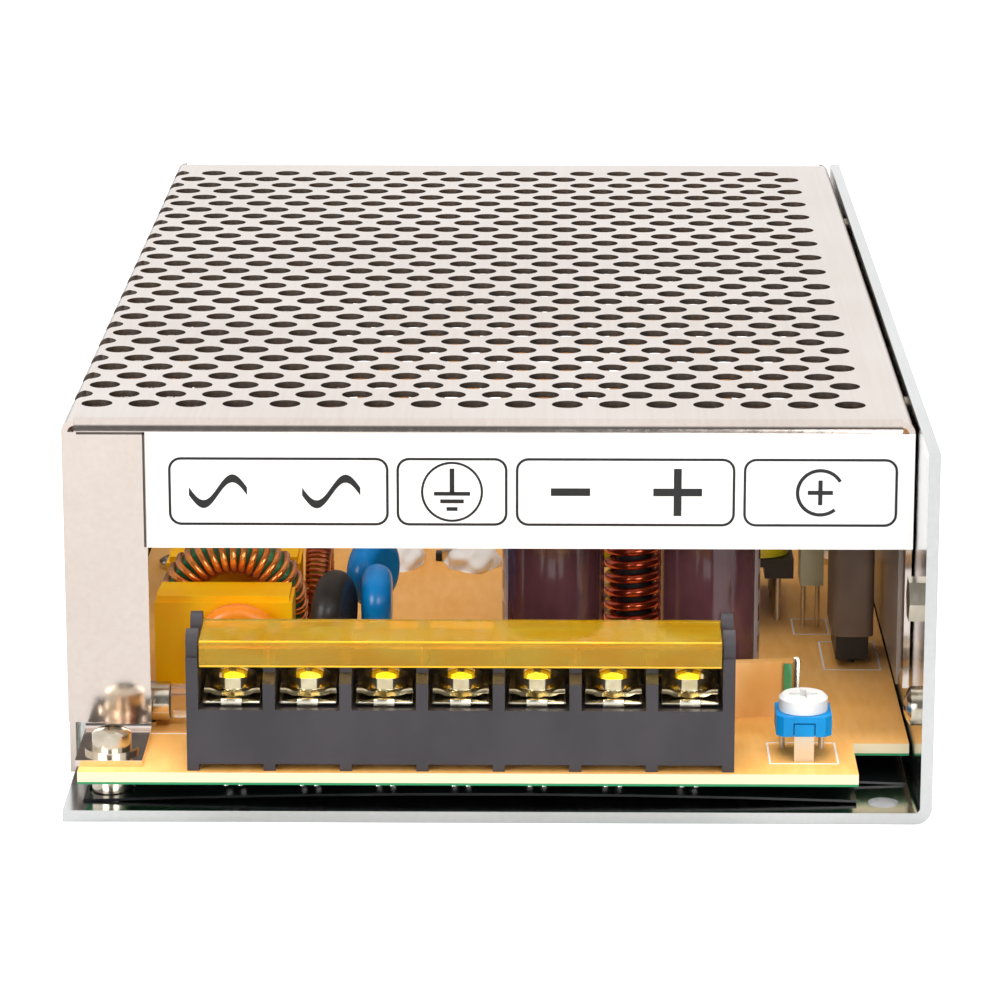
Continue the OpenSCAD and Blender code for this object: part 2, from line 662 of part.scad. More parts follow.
// ---- output trimmer ----
module trimmer_body() color([0.05, 0.5, 0.85]) translate([trimmer_at[0], trimmer_at[1], board_top]) {
  translate([0, 0, trimmer_leg_h]) difference() {
    linear_extrude(trimmer_h) difference() {
      square(trimmer_w, center = true);
      for (a = [45 : 90 : 315]) rotate(a) translate([trimmer_w * 0.62, -trimmer_w / 2]) square(trimmer_w);
    }
    translate([0, 0, trimmer_h - 0.5]) cylinder(h = 2, r = rotor_r - 0.6);
    translate([-1.4, -trimmer_w / 2 - over, -over]) cube([2.8, over + 0.5, 1.8 + over]);
  }
  translate([-1.25, -trimmer_w / 2 + 0.05, 0]) cube([2.5, 0.4, trimmer_leg_h + 1.6]);
  for (s = [-1, 1]) translate([s * 2.5, trimmer_w / 2 - 1.2, 0]) cylinder(h = trimmer_leg_h + 0.4, r = 0.4, $fn = 16);
}

module trimmer_rotor() color([0.96, 0.96, 0.95])
  translate([trimmer_at[0], trimmer_at[1], board_top + trimmer_leg_h + trimmer_h]) difference() {
    union() {
      translate([0, 0, -0.4]) cylinder(h = 1, r = rotor_r - 0.7);
      translate([0, 0, fit]) cylinder(h = rotor_h - 0.4, r = rotor_r);
      translate([0, 0, rotor_h - 0.4 + fit]) cylinder(h = 0.4, r1 = rotor_r, r2 = rotor_r - 0.4);
    }
    for (a = [0, 90]) rotate([0, 0, a]) translate([-1.8, -0.4, rotor_h - 0.8]) cube([3.6, 0.8, 2]);
  }

// ---- mains side ----
module fuse_tube() color([0.9, 0.93, 0.95, 0.5]) translate([fuse_at[0] - fuse_l / 2 + 1, fuse_at[1], fuse_z])
  rotate([0, 90, 0]) cylinder(h = fuse_l - 2, r = fuse_r - 0.35);

// end caps with a rolled bead and the clips that hold them
module fuse_caps() color([0.8, 0.76, 0.7]) for (s = [-1, 1])
  translate([fuse_at[0] + s * (fuse_l / 2 - 3), fuse_at[1], fuse_z]) {
    rotate([0, s * 90, 0]) rotate_extrude($fn = 48) polygon([[fuse_r - 0.35, -3], [fuse_r, -3], [fuse_r, 1.6],
      [fuse_r + 0.2, 1.9], [fuse_r, 2.2], [fuse_r, 2.8], [fuse_r - 0.4, 3.2], [0, 3.2], [0, 2.4],
      [fuse_r - 0.35, 2.4]]);
    translate([-1.2, -1.3, board_top - fuse_z]) cube([2.4, 2.6, fuse_z - board_top - fuse_r + 0.15]);
  }

module boxed_capacitor(y) {
  translate([xcap_x - xcap_w / 2, y, board_top + 0.4]) bevelled_box();
  for (s = [-1, 1]) translate([xcap_x + s * (xcap_w / 2 - 1.5), y + xcap_l / 2, board_top])
    cylinder(h = 1, r = 0.4, $fn = 16);
}

// box with a moulded bevel round its top
module bevelled_box() {
  cube([xcap_w, xcap_l, xcap_h - 0.8]);
  translate([0.4, 0.4, 0]) cube([xcap_w - 0.8, xcap_l - 0.8, xcap_h]);
}

module x_capacitors() color([0.95, 0.65, 0.05]) {
  boxed_capacitor(xcap_y);
  boxed_capacitor(xcap2_y);
}

module choke_core() color([0.1, 0.45, 0.3])
  translate([choke_at[0], choke_at[1] + choke_w / 2, choke_z]) rotate([90, 0, 0])
    tube(choke_r, choke_bore_r, choke_w);

// one turn round the core's section: two straight sides and two round ends
module choke_turn() {
  mid = (choke_r + choke_bore_r) / 2;
  reach = choke_w / 2 - turn_skew;
  for (s = [-1, 1]) translate([mid + s * turn_r, -reach, 0]) rotate([-90, 0, 0])
    cylinder(h = 2 * reach, r = choke_wire_r, $fn = 16);
  for (s = [0, 180]) translate([mid, s == 0 ? reach : -reach, 0]) rotate([0, 0, s])
    rotate_extrude(angle = 180, $fn = 32) translate([turn_r, 0]) circle(choke_wire_r, $fn = 16);
}

module choke_winding() color([0.8, 0.38, 0.15]) translate([choke_at[0], choke_at[1], choke_z])
  for (i = [0 : choke_turns - 1]) rotate([0, -90 + (i - (choke_turns - 1) / 2) * 13.8, 0]) choke_turn();

// small ring inductor that stands edge on: core with a wound cover of fine wire
module line_inductor() color([0.72, 0.36, 0.2])
  translate([ring_at[0], ring_at[1], board_top + ring_r + lean]) {
    rotate([0, 90, 0]) translate([0, 0, -ring_t / 2]) tube(ring_r, ring_bore_r, ring_t);
    for (s = [-1, 1]) translate([0, s * ring_r * 0.69, -ring_r - lean]) cylinder(h = ring_r / 2, r = 0.4, $fn = 16);
  }

module varistor() color([0.93, 0.45, 0.05])
  disc_part(xcap_x + 2, varistor_y, disc_r, disc_t, 3.4, 0);
module thermistor() color([0.12, 0.12, 0.12])
  disc_part(thermistor_at[0], thermistor_at[1], disc_r, thermistor_t, 5.8, 75);
module y_capacitors() color([0.05, 0.45, 0.78])
  for (p = y_cap_ats) disc_part(p[0], p[1], y_disc_r, y_disc_t, p[2], p[3]);

module bridge_rectifier() color([0.1, 0.1, 0.1]) translate([bridge_at[0], bridge_at[1], board_top]) {
  difference() {
    translate([0, 0, 3.5]) cube(bridge);
    translate([-over, bridge[1] / 2, bridge[2] - 2]) rotate([0, 90, 0]) cylinder(h = bridge[0] + 2 * over, r = 1.8);
  }
  for (i = [0 : 3]) translate([bridge[0] / 2 - 0.4, 2.5 + i * 5.4, 0]) cube([0.8, 1.2, 4]);
}

module bulk_capacitor(i) color([0.16, 0.16, 0.2])
  translate([bulk_ats[i][0], bulk_ats[i][1], board_top]) can(bulk_r, bulk_h);

// ---- transformer ----
// the transformer's own frame: x along its core, which lies along the case
module at_transformer(z) translate([trans_at[0], trans_at[1], z]) rotate([0, 0, 90]) children();

module transformer_core() color([0.22, 0.22, 0.22]) at_transformer(trans_z) difference() {
  translate([-core_w / 2, -core_l / 2, 0]) cube([core_w, core_l, core_h]);
  for (s = [-1, 1]) translate([s * (core_leg + trans_win_w / 2) - trans_win_w / 2, -core_l, core_leg])
    cube([trans_win_w, 2 * core_l, core_h - 2 * core_leg]);
}

// bobbin: a square tube round the centre leg, two flanges, two rails and rows of pins
module bobbin_ring(x, y) difference() {
  square([2 * x, 2 * y], center = true);
  square([2 * (core_leg + coil_gap), core_l + 2 * coil_gap], center = true);
}
module transformer_bobbin() color([0.9, 0.88, 0.8]) at_transformer(0) {
  for (z = [win_z + 0.2, win_z + win_h - 1.4])
    translate([0, 0, z]) linear_extrude(1.2) bobbin_ring(flange_x, flange_y);
  translate([0, 0, win_z + 0.2]) linear_extrude(win_h - 0.4) bobbin_ring(bob_x, bob_y);
  for (s = [-1, 1]) translate([0, s * (flange_y - 2), 0]) {
    block_at([0, 0, win_z - 1.4], [2 * flange_x, 4, 1.7]);
    for (i = [-2 : 2]) translate([i * pin_pitch, 0, board_top])
      cylinder(h = win_z - board_top, r = 0.5, $fn = 16);
  }
}

module transformer_coil() color([0.93, 0.8, 0.1]) at_transformer(win_z + 1.5)
  linear_extrude(win_h - 3) difference() {
    round_rect(2 * flange_x - 0.4, 2 * flange_y - 1, 4);
    square([2 * bob_x + 0.1, 2 * bob_y + 0.1], center = true);
  }

// ---- output filter ----
module filter_rod() color([0.25, 0.25, 0.25]) translate([rod_at[0], rod_at[1], board_top])
  cylinder(h = coil_turns * coil_pitch + 5, r = rod_r);

// round wire swept along a helix, with a straight tail down to the board at each end
coil_r = rod_r + coil_wire_r + 0.4;
coil_steps = 16;
coil_sides = 8;
function coil_point(i) = let (a = 360 * i / coil_steps)
  [coil_r * cos(a), coil_r * sin(a), coil_wire_r + 1 + coil_pitch * i / coil_steps];
module filter_coil() color([0.62, 0.16, 0.08]) translate([rod_at[0], rod_at[1], board_top]) {
  n = coil_turns * coil_steps;
  pts = [for (i = [0 : n], j = [0 : coil_sides - 1]) let (a = 360 * i / coil_steps, b = 360 * j / coil_sides,
    r = coil_r + coil_wire_r * cos(b))
    [r * cos(a), r * sin(a), coil_point(i)[2] + coil_wire_r * sin(b)]];
  sides = [for (i = [0 : n - 1], j = [0 : coil_sides - 1]) let (k = (j + 1) % coil_sides)
    [i * coil_sides + j, (i + 1) * coil_sides + j, (i + 1) * coil_sides + k, i * coil_sides + k]];
  polyhedron(pts, concat(sides, [[for (j = [0 : coil_sides - 1]) j]],
    [[for (j = [coil_sides - 1 : -1 : 0]) n * coil_sides + j]]));
}

module output_capacitor(i) color([0.25, 0.13, 0.17])
  translate([out_ats[i][0], out_ats[i][1], board_top]) can(out_r, out_h);

module daughter_board() color([0.8, 0.64, 0.42]) translate([daughter_at[0], daughter_at[1], board_top])
  rotate([0, 0, 6]) cube(daughter);

// ---- rectifier with its thermal sleeve, and the small standing part ----
module output_rectifier() color([0.06, 0.06, 0.06]) translate([rect_at[0], rect_at[1], board_top]) {
  block_at([0, 0, 1], rect);
  for (s = [-1, 0, 1]) block_at([0, s * 2.54, 0], [0.8, 0.8, 1.5]);
}
module rectifier_sleeve() color([0.42, 0.38, 0.36])
  translate([rect_at[0], rect_at[1], board_top + 4.5]) difference() {
    linear_extrude(20) round_rect(rect[0] + 1.2, rect[1] + 2.4, 1.2);
    block_at([0, 0, -over], [rect[0] + 2 * fit, rect[1] + 2 * fit, rect[2] - 3.5 + fit + over]);
  }
module suppressor_capacitor() color([0.72, 0.78, 0.66])
  translate([suppressor_at[0], suppressor_at[1], board_top]) {
    block_at([0, 0, 6.8], suppressor);
    for (s = [-1, 1]) translate([s, 0, 0]) cylinder(h = 7, r = 0.35, $fn = 16);
  }

// ---- power transistors on the side wall ----
module power_transistors() color([0.09, 0.09, 0.09]) for (y = wall_parts_y, s = [-1, 1]) {
  translate([pad_x - wall_part[0], y - wall_part[1] / 2 + s * wall_part_step, wall_parts_z]) cube(wall_part);
  for (j = [-1, 0, 1]) translate([pad_x - 2.6, y + s * wall_part_step + 2.54 * j - 0.4, board_top])
    cube([0.6, 0.8, wall_parts_z - board_top + 0.5]);
}
module insulating_pad() color([0.55, 0.57, 0.6]) along_x(pad_x, wall_in) difference() {
  translate([wall_parts_y[0] - 14, wall_parts_z - 2]) square([wall_parts_y[1] - wall_parts_y[0] + 28, 20]);
  for (y = wall_parts_y) translate([y, clamp_bar_z]) circle(screw_r + 0.3);
}
bar_x1 = pad_x - wall_part[0];
module clamp_bar() color([0.8, 0.8, 0.82]) along_x(bar_x1 - bar_t, bar_x1) difference() {
  translate([wall_parts_y[0] - 13, clamp_bar_z - 4]) square([wall_parts_y[1] - wall_parts_y[0] + 26, 8]);
  for (y = wall_parts_y) translate([y, clamp_bar_z]) circle(screw_r + 0.3);
}
module clamp_screws() color([0.82, 0.82, 0.8]) for (y = wall_parts_y)
  translate([x1, y, clamp_bar_z]) rotate([0, 90, 0]) {
    flat_screw(x1 - bar_x1 + bar_t + 3);
    translate([0, 0, -(x1 - bar_x1 + bar_t + 2.4)]) difference() {
      cylinder(h = 2.4, r = 3.1, $fn = 6);
      translate([0, 0, -over]) cylinder(h = 5, r = screw_r);
    }
  }

base_chassis();
mesh_cover();
front_label();
insulating_film();
side_film();
circuit_board();
board_standoffs();
board_screws();
corner_screw();
spring_washer();
flat_washer();
cover_screws();
wall_nuts();
earth_screw();
terminal_block();
terminal_lid();
contact_plates();
clamp_washer(1);  // clamp_washer_1
clamp_washer(2);  // clamp_washer_2
clamp_washer(3);  // clamp_washer_3
clamp_washer(4);  // clamp_washer_4
clamp_washer(5);  // clamp_washer_5
clamp_washer(6);  // clamp_washer_6
clamp_washer(7);  // clamp_washer_7
terminal_screw(1);  // terminal_screw_1
terminal_screw(2);  // terminal_screw_2
terminal_screw(3);  // terminal_screw_3
terminal_screw(4);  // terminal_screw_4
terminal_screw(5);  // terminal_screw_5
terminal_screw(6);  // terminal_screw_6
terminal_screw(7);  // terminal_screw_7
trimmer_body();
trimmer_rotor();
fuse_tube();
fuse_caps();
x_capacitors();
choke_core();
choke_winding();
line_inductor();
varistor();
thermistor();
y_capacitors();
bridge_rectifier();
bulk_capacitor(0);  // bulk_capacitor_1
bulk_capacitor(1);  // bulk_capacitor_2
transformer_core();
transformer_bobbin();
transformer_coil();
filter_rod();
filter_coil();
output_capacitor(0);  // output_capacitor_1
output_capacitor(1);  // output_capacitor_2
daughter_board();
output_rectifier();
rectifier_sleeve();
suppressor_capacitor();
power_transistors();
insulating_pad();
clamp_bar();
clamp_screws();
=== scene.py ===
from math import cos, pi, radians, sin

import bpy
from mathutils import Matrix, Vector, noise


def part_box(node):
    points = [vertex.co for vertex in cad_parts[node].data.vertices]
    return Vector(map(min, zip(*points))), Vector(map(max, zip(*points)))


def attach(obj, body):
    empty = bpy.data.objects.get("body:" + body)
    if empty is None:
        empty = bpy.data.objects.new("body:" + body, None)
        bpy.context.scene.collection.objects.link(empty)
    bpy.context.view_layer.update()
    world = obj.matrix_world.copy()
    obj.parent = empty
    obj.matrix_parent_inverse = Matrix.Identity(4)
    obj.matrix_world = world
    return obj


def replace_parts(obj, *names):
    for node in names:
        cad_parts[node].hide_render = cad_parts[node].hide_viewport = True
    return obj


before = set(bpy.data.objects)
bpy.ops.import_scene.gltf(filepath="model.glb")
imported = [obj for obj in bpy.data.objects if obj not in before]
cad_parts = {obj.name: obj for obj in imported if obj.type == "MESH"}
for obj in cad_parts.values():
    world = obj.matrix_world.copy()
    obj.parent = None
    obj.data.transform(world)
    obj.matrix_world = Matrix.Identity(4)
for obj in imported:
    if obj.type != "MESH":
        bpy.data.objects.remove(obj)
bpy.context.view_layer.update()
MM = 0.001
WAYS = 7               # terminals
TURN_SQUARENESS = 0.6  # how squarely a winding hugs its core: 1 is round

# ---- camera: a little above the open front, almost square to it ----
CAMERA_PLACE = (0.00658, -0.62072, 0.17935)
CAMERA_PITCH, CAMERA_YAW = 75.2645, 0.6312  # degrees
SENSOR_WIDTH, LENS = 36, 157.8              # mm

camera_data = bpy.data.cameras.new("product_camera")
camera = bpy.data.objects.new("product_camera", camera_data)
bpy.context.scene.collection.objects.link(camera)
camera.location = CAMERA_PLACE
camera.rotation_euler = (radians(CAMERA_PITCH), 0, radians(CAMERA_YAW))
camera_data.sensor_width, camera_data.lens = SENSOR_WIDTH, LENS
bpy.context.scene.camera = camera
bpy.context.scene.view_settings.view_transform = "Standard"


# ---- materials: pattern scales are cells to a metre, so 1400 is a grain of 0.7 mm ----
ROLLED_GRAIN = (1400, 30, 1400)  # lines 0.7 mm apart and 33 mm long, coarser than real ones to show
SHEARED_REACH = 0.00085          # a little more than the cover's 0.8 mm
# painted shade: the holes' sheared walls are drawn far darker than the sheet around them
SHEARED_STEEL_AND_SHADE = "#645b54"
FIRST, SECOND = 0.35, 0.65       # pattern values at which a finish has its two shades
TINNED = "#d9d2c2"
BOARD_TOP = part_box("circuit_board")[1].z
MASK_FACE = BOARD_TOP - 0.0013   # under this height the board is green


def linear(code):
    """A hex colour as linear red, green, blue and alpha."""
    parts = [int(code[i:i + 2], 16) / 255 for i in (1, 3, 5)]
    return [p / 12.92 if p <= 0.04045 else ((p + 0.055) / 1.055) ** 2.4 for p in parts] + [1]


def fill(tree, socket, value):
    """Links a value that is a socket, and sets any other."""
    if isinstance(value, bpy.types.NodeSocket):
        tree.links.new(value, socket)
    else:
        socket.default_value = value


def add(tree, kind, settings=None, **inputs):
    """Adds one node with its settings and links. An input called _2 is the third one."""
    new = tree.nodes.new("ShaderNode" + kind)
    for name, value in (settings or {}).items():
        setattr(new, name, value)
    for name, value in inputs.items():
        key = int(name[1:]) if name[0] == "_" else name.replace("_", " ")
        fill(tree, new.inputs[key], value)
    return new


def new_material(name):
    material = bpy.data.materials.new(name)
    material.use_nodes = True
    tree = material.node_tree
    return material, tree, tree.nodes["Principled BSDF"]


def set_inputs(tree, shader, **inputs):
    for name, value in inputs.items():
        fill(tree, shader.inputs[name.replace("_", " ")], value)


def scaled(tree, x, y, z):
    """Places on the object, with a pattern's cells to a metre along each axis."""
    place = add(tree, "TexCoord").outputs["Object"]
    return add(tree, "Mapping", Vector=place, Scale=(x, y, z)).outputs[0]


def two_shades(tree, pattern, low, high):
    """The finish's colour, which wanders between two near shades as the pattern does."""
    blend = add(tree, "ValToRGB", Fac=pattern)
    for stop, place, shade in zip(blend.color_ramp.elements, (FIRST, SECOND), (low, high)):
        stop.position, stop.color = place, linear(shade)
    return blend.outputs[0]


def fine_on_broad(tree, fine, broad, share):
    """A share of the fine pattern, on the rest of the broad one."""
    part = add(tree, "Math", {"operation": "MULTIPLY"}, _0=fine.outputs[0], _1=share)
    return add(tree, "Math", {"operation": "MULTIPLY_ADD"}, _0=broad.outputs[0], _1=1 - share,
               _2=part.outputs[0]).outputs[0]


def painted_over(tree, where, under, over):
    """One colour where the mask is 0, and another where it is 1."""
    return add(tree, "Mix", {"data_type": "RGBA"}, _0=where, _6=under, _7=over).outputs[2]


def below(tree, height):
    """1 under the given height of the object, and 0 above it."""
    place = add(tree, "TexCoord").outputs["Object"]
    level = add(tree, "SeparateXYZ", Vector=place).outputs[2]
    return add(tree, "Math", {"operation": "LESS_THAN"}, _0=level, _1=height).outputs[0]


def hole_walls(tree, low, high, front):
    """1 on the sheared walls of holes in the top, left and rear sheets, behind the front flap."""
    where = add(tree, "TexCoord")
    place = add(tree, "SeparateXYZ", Vector=where.outputs["Object"]).outputs
    facing = add(tree, "SeparateXYZ", Vector=where.outputs["Normal"]).outputs
    found = 0.0
    for axis, side, face in ((2, 1, high.z), (0, -1, low.x), (1, 1, high.y)):
        inward = add(tree, "Math", {"operation": "MULTIPLY_ADD"}, _0=place[axis], _1=-side,
                     _2=side * face)
        near = add(tree, "Math", {"operation": "LESS_THAN"}, _0=inward.outputs[0],
                   _1=SHEARED_REACH)
        turned = add(tree, "Math", {"operation": "ABSOLUTE"}, _0=facing[axis])
        along = add(tree, "Math", {"operation": "LESS_THAN"}, _0=turned.outputs[0], _1=0.3)
        both = add(tree, "Math", {"operation": "MULTIPLY"}, _0=near.outputs[0],
                   _1=along.outputs[0])
        found = add(tree, "Math", {"operation": "MAXIMUM"}, _0=both.outputs[0], _1=found).outputs[0]
    behind = add(tree, "Math", {"operation": "GREATER_THAN"}, _0=place[1], _1=front)
    return add(tree, "Math", {"operation": "MULTIPLY"}, _0=found, _1=behind.outputs[0]).outputs[0]


def rolled_sheet(name, low, high, rough, bump, sheared=None):
    """Rolled sheet metal: fine lines along the case, soft cloudy patches, and dull sheared walls in
    the holes of the node that is named, darkened with painted shade."""
    material, tree, shader = new_material(name)
    lines = add(tree, "TexNoise", Vector=scaled(tree, *ROLLED_GRAIN), Scale=1.0, Detail=4,
                Roughness=0.6)
    clouds = add(tree, "TexNoise", Vector=scaled(tree, 28, 28, 28), Scale=1.0, Detail=3)
    gloss = add(tree, "MapRange", Value=lines.outputs[0], To_Min=rough - 0.06, To_Max=rough + 0.08)
    height = add(tree, "Bump", Height=lines.outputs[0], Strength=bump, Distance=0.00002)
    colour = two_shades(tree, fine_on_broad(tree, lines, clouds, 0.35), low, high)
    finish = gloss.outputs[0]
    if sheared:
        flap_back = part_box("front_label")[1].y + 0.0025
        cut = hole_walls(tree, *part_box(sheared), flap_back)
        # painted shade: the hole walls take the dark colour, over their dull sheared finish
        colour = painted_over(tree, cut, colour, linear(SHEARED_STEEL_AND_SHADE))
        finish = add(tree, "Mix", {"data_type": "FLOAT"}, _0=cut, _2=finish, _3=0.5).outputs[0]
    set_inputs(tree, shader, Metallic=1.0, Base_Color=colour, Roughness=finish,
               Normal=height.outputs[0])
    return material


def plated(name, low, high, rough):
    """Bright plating on turned and stamped pieces: slight stain and uneven gloss."""
    material, tree, shader = new_material(name)
    stain = add(tree, "TexNoise", Vector=scaled(tree, 450, 450, 450), Scale=1.0, Detail=3)
    fine = add(tree, "TexNoise", Vector=scaled(tree, 2600, 2600, 2600), Scale=1.0, Detail=2)
    gloss = add(tree, "MapRange", Value=stain.outputs[0], To_Min=rough - 0.06, To_Max=rough + 0.1)
    height = add(tree, "Bump", Height=fine.outputs[0], Strength=0.15, Distance=0.00002)
    set_inputs(tree, shader, Metallic=1.0, Base_Color=two_shades(tree, stain.outputs[0], low, high),
               Roughness=gloss.outputs[0], Normal=height.outputs[0])
    return material


def moulded(name, low, high, rough, grain=1500, bump=0.2, coat=0.0, specular=0.5, legs=0.0):
    """Moulded or dipped plastic: fine skin grain, slight flow marks, and tinned legs under a
    height."""
    material, tree, shader = new_material(name)
    skin = add(tree, "TexNoise", Vector=scaled(tree, grain, grain, grain), Scale=1.0, Detail=3)
    flow = add(tree, "TexNoise", Vector=scaled(tree, 160, 160, 90), Scale=1.0, Detail=3)
    gloss = add(tree, "MapRange", Value=flow.outputs[0], To_Min=rough - 0.07, To_Max=rough + 0.09)
    height = add(tree, "Bump", Height=skin.outputs[0], Strength=bump, Distance=0.00003)
    colour = two_shades(tree, flow.outputs[0], low, high)
    if legs:
        tinned = below(tree, legs)
        colour = painted_over(tree, tinned, colour, linear(TINNED))
        set_inputs(tree, shader, Metallic=tinned)
    set_inputs(tree, shader, Base_Color=colour, Roughness=gloss.outputs[0],
               Normal=height.outputs[0], Coat_Weight=coat, Coat_Roughness=0.1,
               Specular_IOR_Level=specular)
    return material


def laminate(name):
    """Paper laminate: warm tan with fine fibres, paler on its cut edges, with green solder mask
    underneath."""
    material, tree, shader = new_material(name)
    fibre = add(tree, "TexNoise", Vector=scaled(tree, 900, 160, 900), Scale=1.0, Detail=4)
    patch = add(tree, "TexNoise", Vector=scaled(tree, 45, 45, 45), Scale=1.0, Detail=3)
    tan = two_shades(tree, fine_on_broad(tree, fibre, patch, 0.4), "#f0ac54", "#fcc478")
    facing = add(tree, "SeparateXYZ", Vector=add(tree, "TexCoord").outputs["Normal"]).outputs[2]
    upright = add(tree, "Math", {"operation": "ABSOLUTE"}, _0=facing)
    cut = add(tree, "Math", {"operation": "LESS_THAN"}, _0=upright.outputs[0], _1=0.5)
    edged = painted_over(tree, cut.outputs[0], tan, linear("#e8d8b4"))
    colour = painted_over(tree, below(tree, MASK_FACE), edged, linear("#2b8a5a"))
    relief = add(tree, "Bump", Height=fibre.outputs[0], Strength=0.15, Distance=0.00003)
    set_inputs(tree, shader, Base_Color=colour, Roughness=0.5, Normal=relief.outputs[0],
               Specular_IOR_Level=0.3)
    return material


def clear_plastic(name, low, high, rough, weight):
    """Clear moulded plastic or drawn glass, with faint ripples on its faces."""
    material, tree, shader = new_material(name)
    ripple = add(tree, "TexNoise", Vector=scaled(tree, 120, 260, 260), Scale=1.0, Detail=2)
    gloss = add(tree, "MapRange", Value=ripple.outputs[0], To_Min=rough, To_Max=rough + 0.08)
    height = add(tree, "Bump", Height=ripple.outputs[0], Strength=0.12, Distance=0.0002)
    set_inputs(tree, shader, Base_Color=two_shades(tree, ripple.outputs[0], low, high),
               Roughness=gloss.outputs[0], Normal=height.outputs[0], Transmission_Weight=weight,
               IOR=1.45)
    return material


def wire_enamel(name, low, high, rough):
    """Enamelled copper wire: deep colour under a clear gloss."""
    material, tree, shader = new_material(name)
    tone = add(tree, "TexNoise", Vector=scaled(tree, 380, 380, 380), Scale=1.0, Detail=3)
    relief = add(tree, "Bump", Height=tone.outputs[0], Strength=0.1, Distance=0.0001)
    set_inputs(tree, shader, Base_Color=two_shades(tree, tone.outputs[0], low, high),
               Metallic=0.85, Roughness=rough, Normal=relief.outputs[0], Coat_Weight=0.6,
               Coat_Roughness=0.08)
    return material


def tape(name, low, high):
    """Polyester tape: level windings with thin lap lines round the coil."""
    material, tree, shader = new_material(name)
    laps = add(tree, "TexWave", {"bands_direction": "Z"}, Vector=scaled(tree, 30, 30, 420),
               Scale=1.0, Distortion=0.6, Detail=2)
    sheen = add(tree, "TexNoise", Vector=scaled(tree, 90, 90, 90), Scale=1.0, Detail=2)
    relief = add(tree, "Bump", Height=laps.outputs[1], Strength=0.25, Distance=0.00006)
    set_inputs(tree, shader, Base_Color=two_shades(tree, sheen.outputs[0], low, high),
               Roughness=0.28, Normal=relief.outputs[0], Coat_Weight=0.3, Coat_Roughness=0.1)
    return material


# rolled steel and aluminium sheet: long fine lines that smear what it mirrors
COVER = rolled_sheet("rolled_cover_sheet", "#e4d6cc", "#f2e6de", rough=0.12, bump=0.1,
                     sheared="mesh_cover")
BASE = rolled_sheet("rolled_base_sheet", "#dcdedd", "#eceded", rough=0.15, bump=0.12)
# plated and tinned steel: small sharp glints, with a little stain
ZINC = plated("zinc_plate", "#cfc4b0", "#eae0ce", rough=0.17)
NICKEL = plated("yellow_nickel_plate", "#d2c298", "#f0e4c2", rough=0.11)
TIN = plated("tinned_contact", "#e2dcc6", "#f6f0de", rough=0.2)
# painted shadow in the gap along a fold
SHADOW = moulded("shadow_gap", "#3b322d", "#4a403a", rough=0.6, grain=900, bump=0.05)
# white vinyl and black screen print: flat and even
VINYL = moulded("white_vinyl", "#f6f4f4", "#fbf9f9", rough=0.32, grain=700, bump=0.05)
PRINT = moulded("black_print", "#0c0c0d", "#151516", rough=0.4, grain=900, bump=0.05)
# polyester film and pressed fibre sheet: wide soft ripples under a shine
FILM = moulded("black_film", "#0b0b0d", "#17171a", rough=0.2, grain=260, bump=0.25)
FIBRE_SHEET = moulded("grey_fibre_sheet", "#7a706a", "#8c827b", rough=0.34, grain=300, bump=0.15,
                      coat=0.3)
# moulded terminal body: fine satin skin
TERMINAL = moulded("charcoal_terminal_plastic", "#302c30", "#383438", rough=0.42, bump=0.25)
# moulded polycarbonate: clear amber, and strips of painted highlight along its edges
AMBER = clear_plastic("amber_lid_plastic", "#ffc608", "#ffda3c", rough=0.03, weight=0.78)
AMBER_EDGE_HIGHLIGHT = moulded("amber_painted_edge_highlight", "#e0ac18", "#ecba2c", rough=0.25, grain=900, bump=0.05,
                     coat=0.1, specular=0.3)
# drawn glass: almost nothing but its outline
GLASS = clear_plastic("fuse_glass", "#eef4f2", "#f8fbfa", rough=0.02, weight=0.95)
# phenolic paper board: warm tan with a faint fibre
BOARD = laminate("board_laminate")
# moulded cases on tinned legs: even colour over bright pins
BLUE_CASE = moulded("blue_trimmer_plastic", "#007cbe", "#028ed2", rough=0.42, grain=1200,
                    bump=0.12, specular=0.25, legs=BOARD_TOP + 0.0033)
NYLON = moulded("white_nylon", "#d8d7d4", "#e1e0dd", rough=0.45, grain=1200, bump=0.12)
PHENOLIC = moulded("black_phenolic", "#1b1917", "#2a2724", rough=0.4, grain=1300,
                   legs=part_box("transformer_bobbin")[0].z + 0.0062)
YELLOW = moulded("yellow_capacitor_case", "#ffb400", "#ffc406", rough=0.4, grain=1200, bump=0.1,
                 specular=0.22)
# sprayed epoxy on pressed cores: soft orange-peel skin
CORE_PAINT = moulded("yellow_core_paint", "#c9932a", "#ddab3e", rough=0.35, grain=900, bump=0.3)
FERRITE_COAT = moulded("green_core_coat", "#157045", "#1f8a54", rough=0.3, grain=900, bump=0.3)
# enamelled winding wire: metal colour under a clear gloss
COPPER = wire_enamel("copper_enamel", "#ee8632", "#ffae5c", rough=0.22)
FINE_COPPER = wire_enamel("fine_copper_enamel", "#b8512e", "#da8054", rough=0.22)
RED_WIRE = wire_enamel("red_copper_enamel", "#bc4628", "#e2683e", rough=0.2)
# dipped and moulded epoxy: uneven skin, glossy where dipped and dull where moulded
EPOXY = dict(low="#1a1a1b", high="#242425", rough=0.42, grain=1600, bump=0.35)
ORANGE = moulded("orange_dip", "#ee7d14", "#fb9220", rough=0.26, grain=700, bump=0.3, coat=0.3,
                 legs=BOARD_TOP + 0.0034)
BLACK = moulded("black_epoxy", **EPOXY)
BLACK_LEGGED = moulded("black_epoxy_on_legs", **EPOXY, legs=BOARD_TOP + 0.0087)
BLACK_CLIP = moulded("black_bridge_case", **EPOXY, legs=BOARD_TOP + 0.0035)
GREY_DISC = moulded("dark_disc_dip", "#151413", "#292623", rough=0.45, grain=500, bump=0.6,
                    coat=0.2, legs=BOARD_TOP + 0.0058)
BLUE_DIP = moulded("blue_dip", "#0470ba", "#0a8cd8", rough=0.24, grain=600, bump=0.35, coat=0.2,
                   specular=0.4, legs=BOARD_TOP + 0.007)
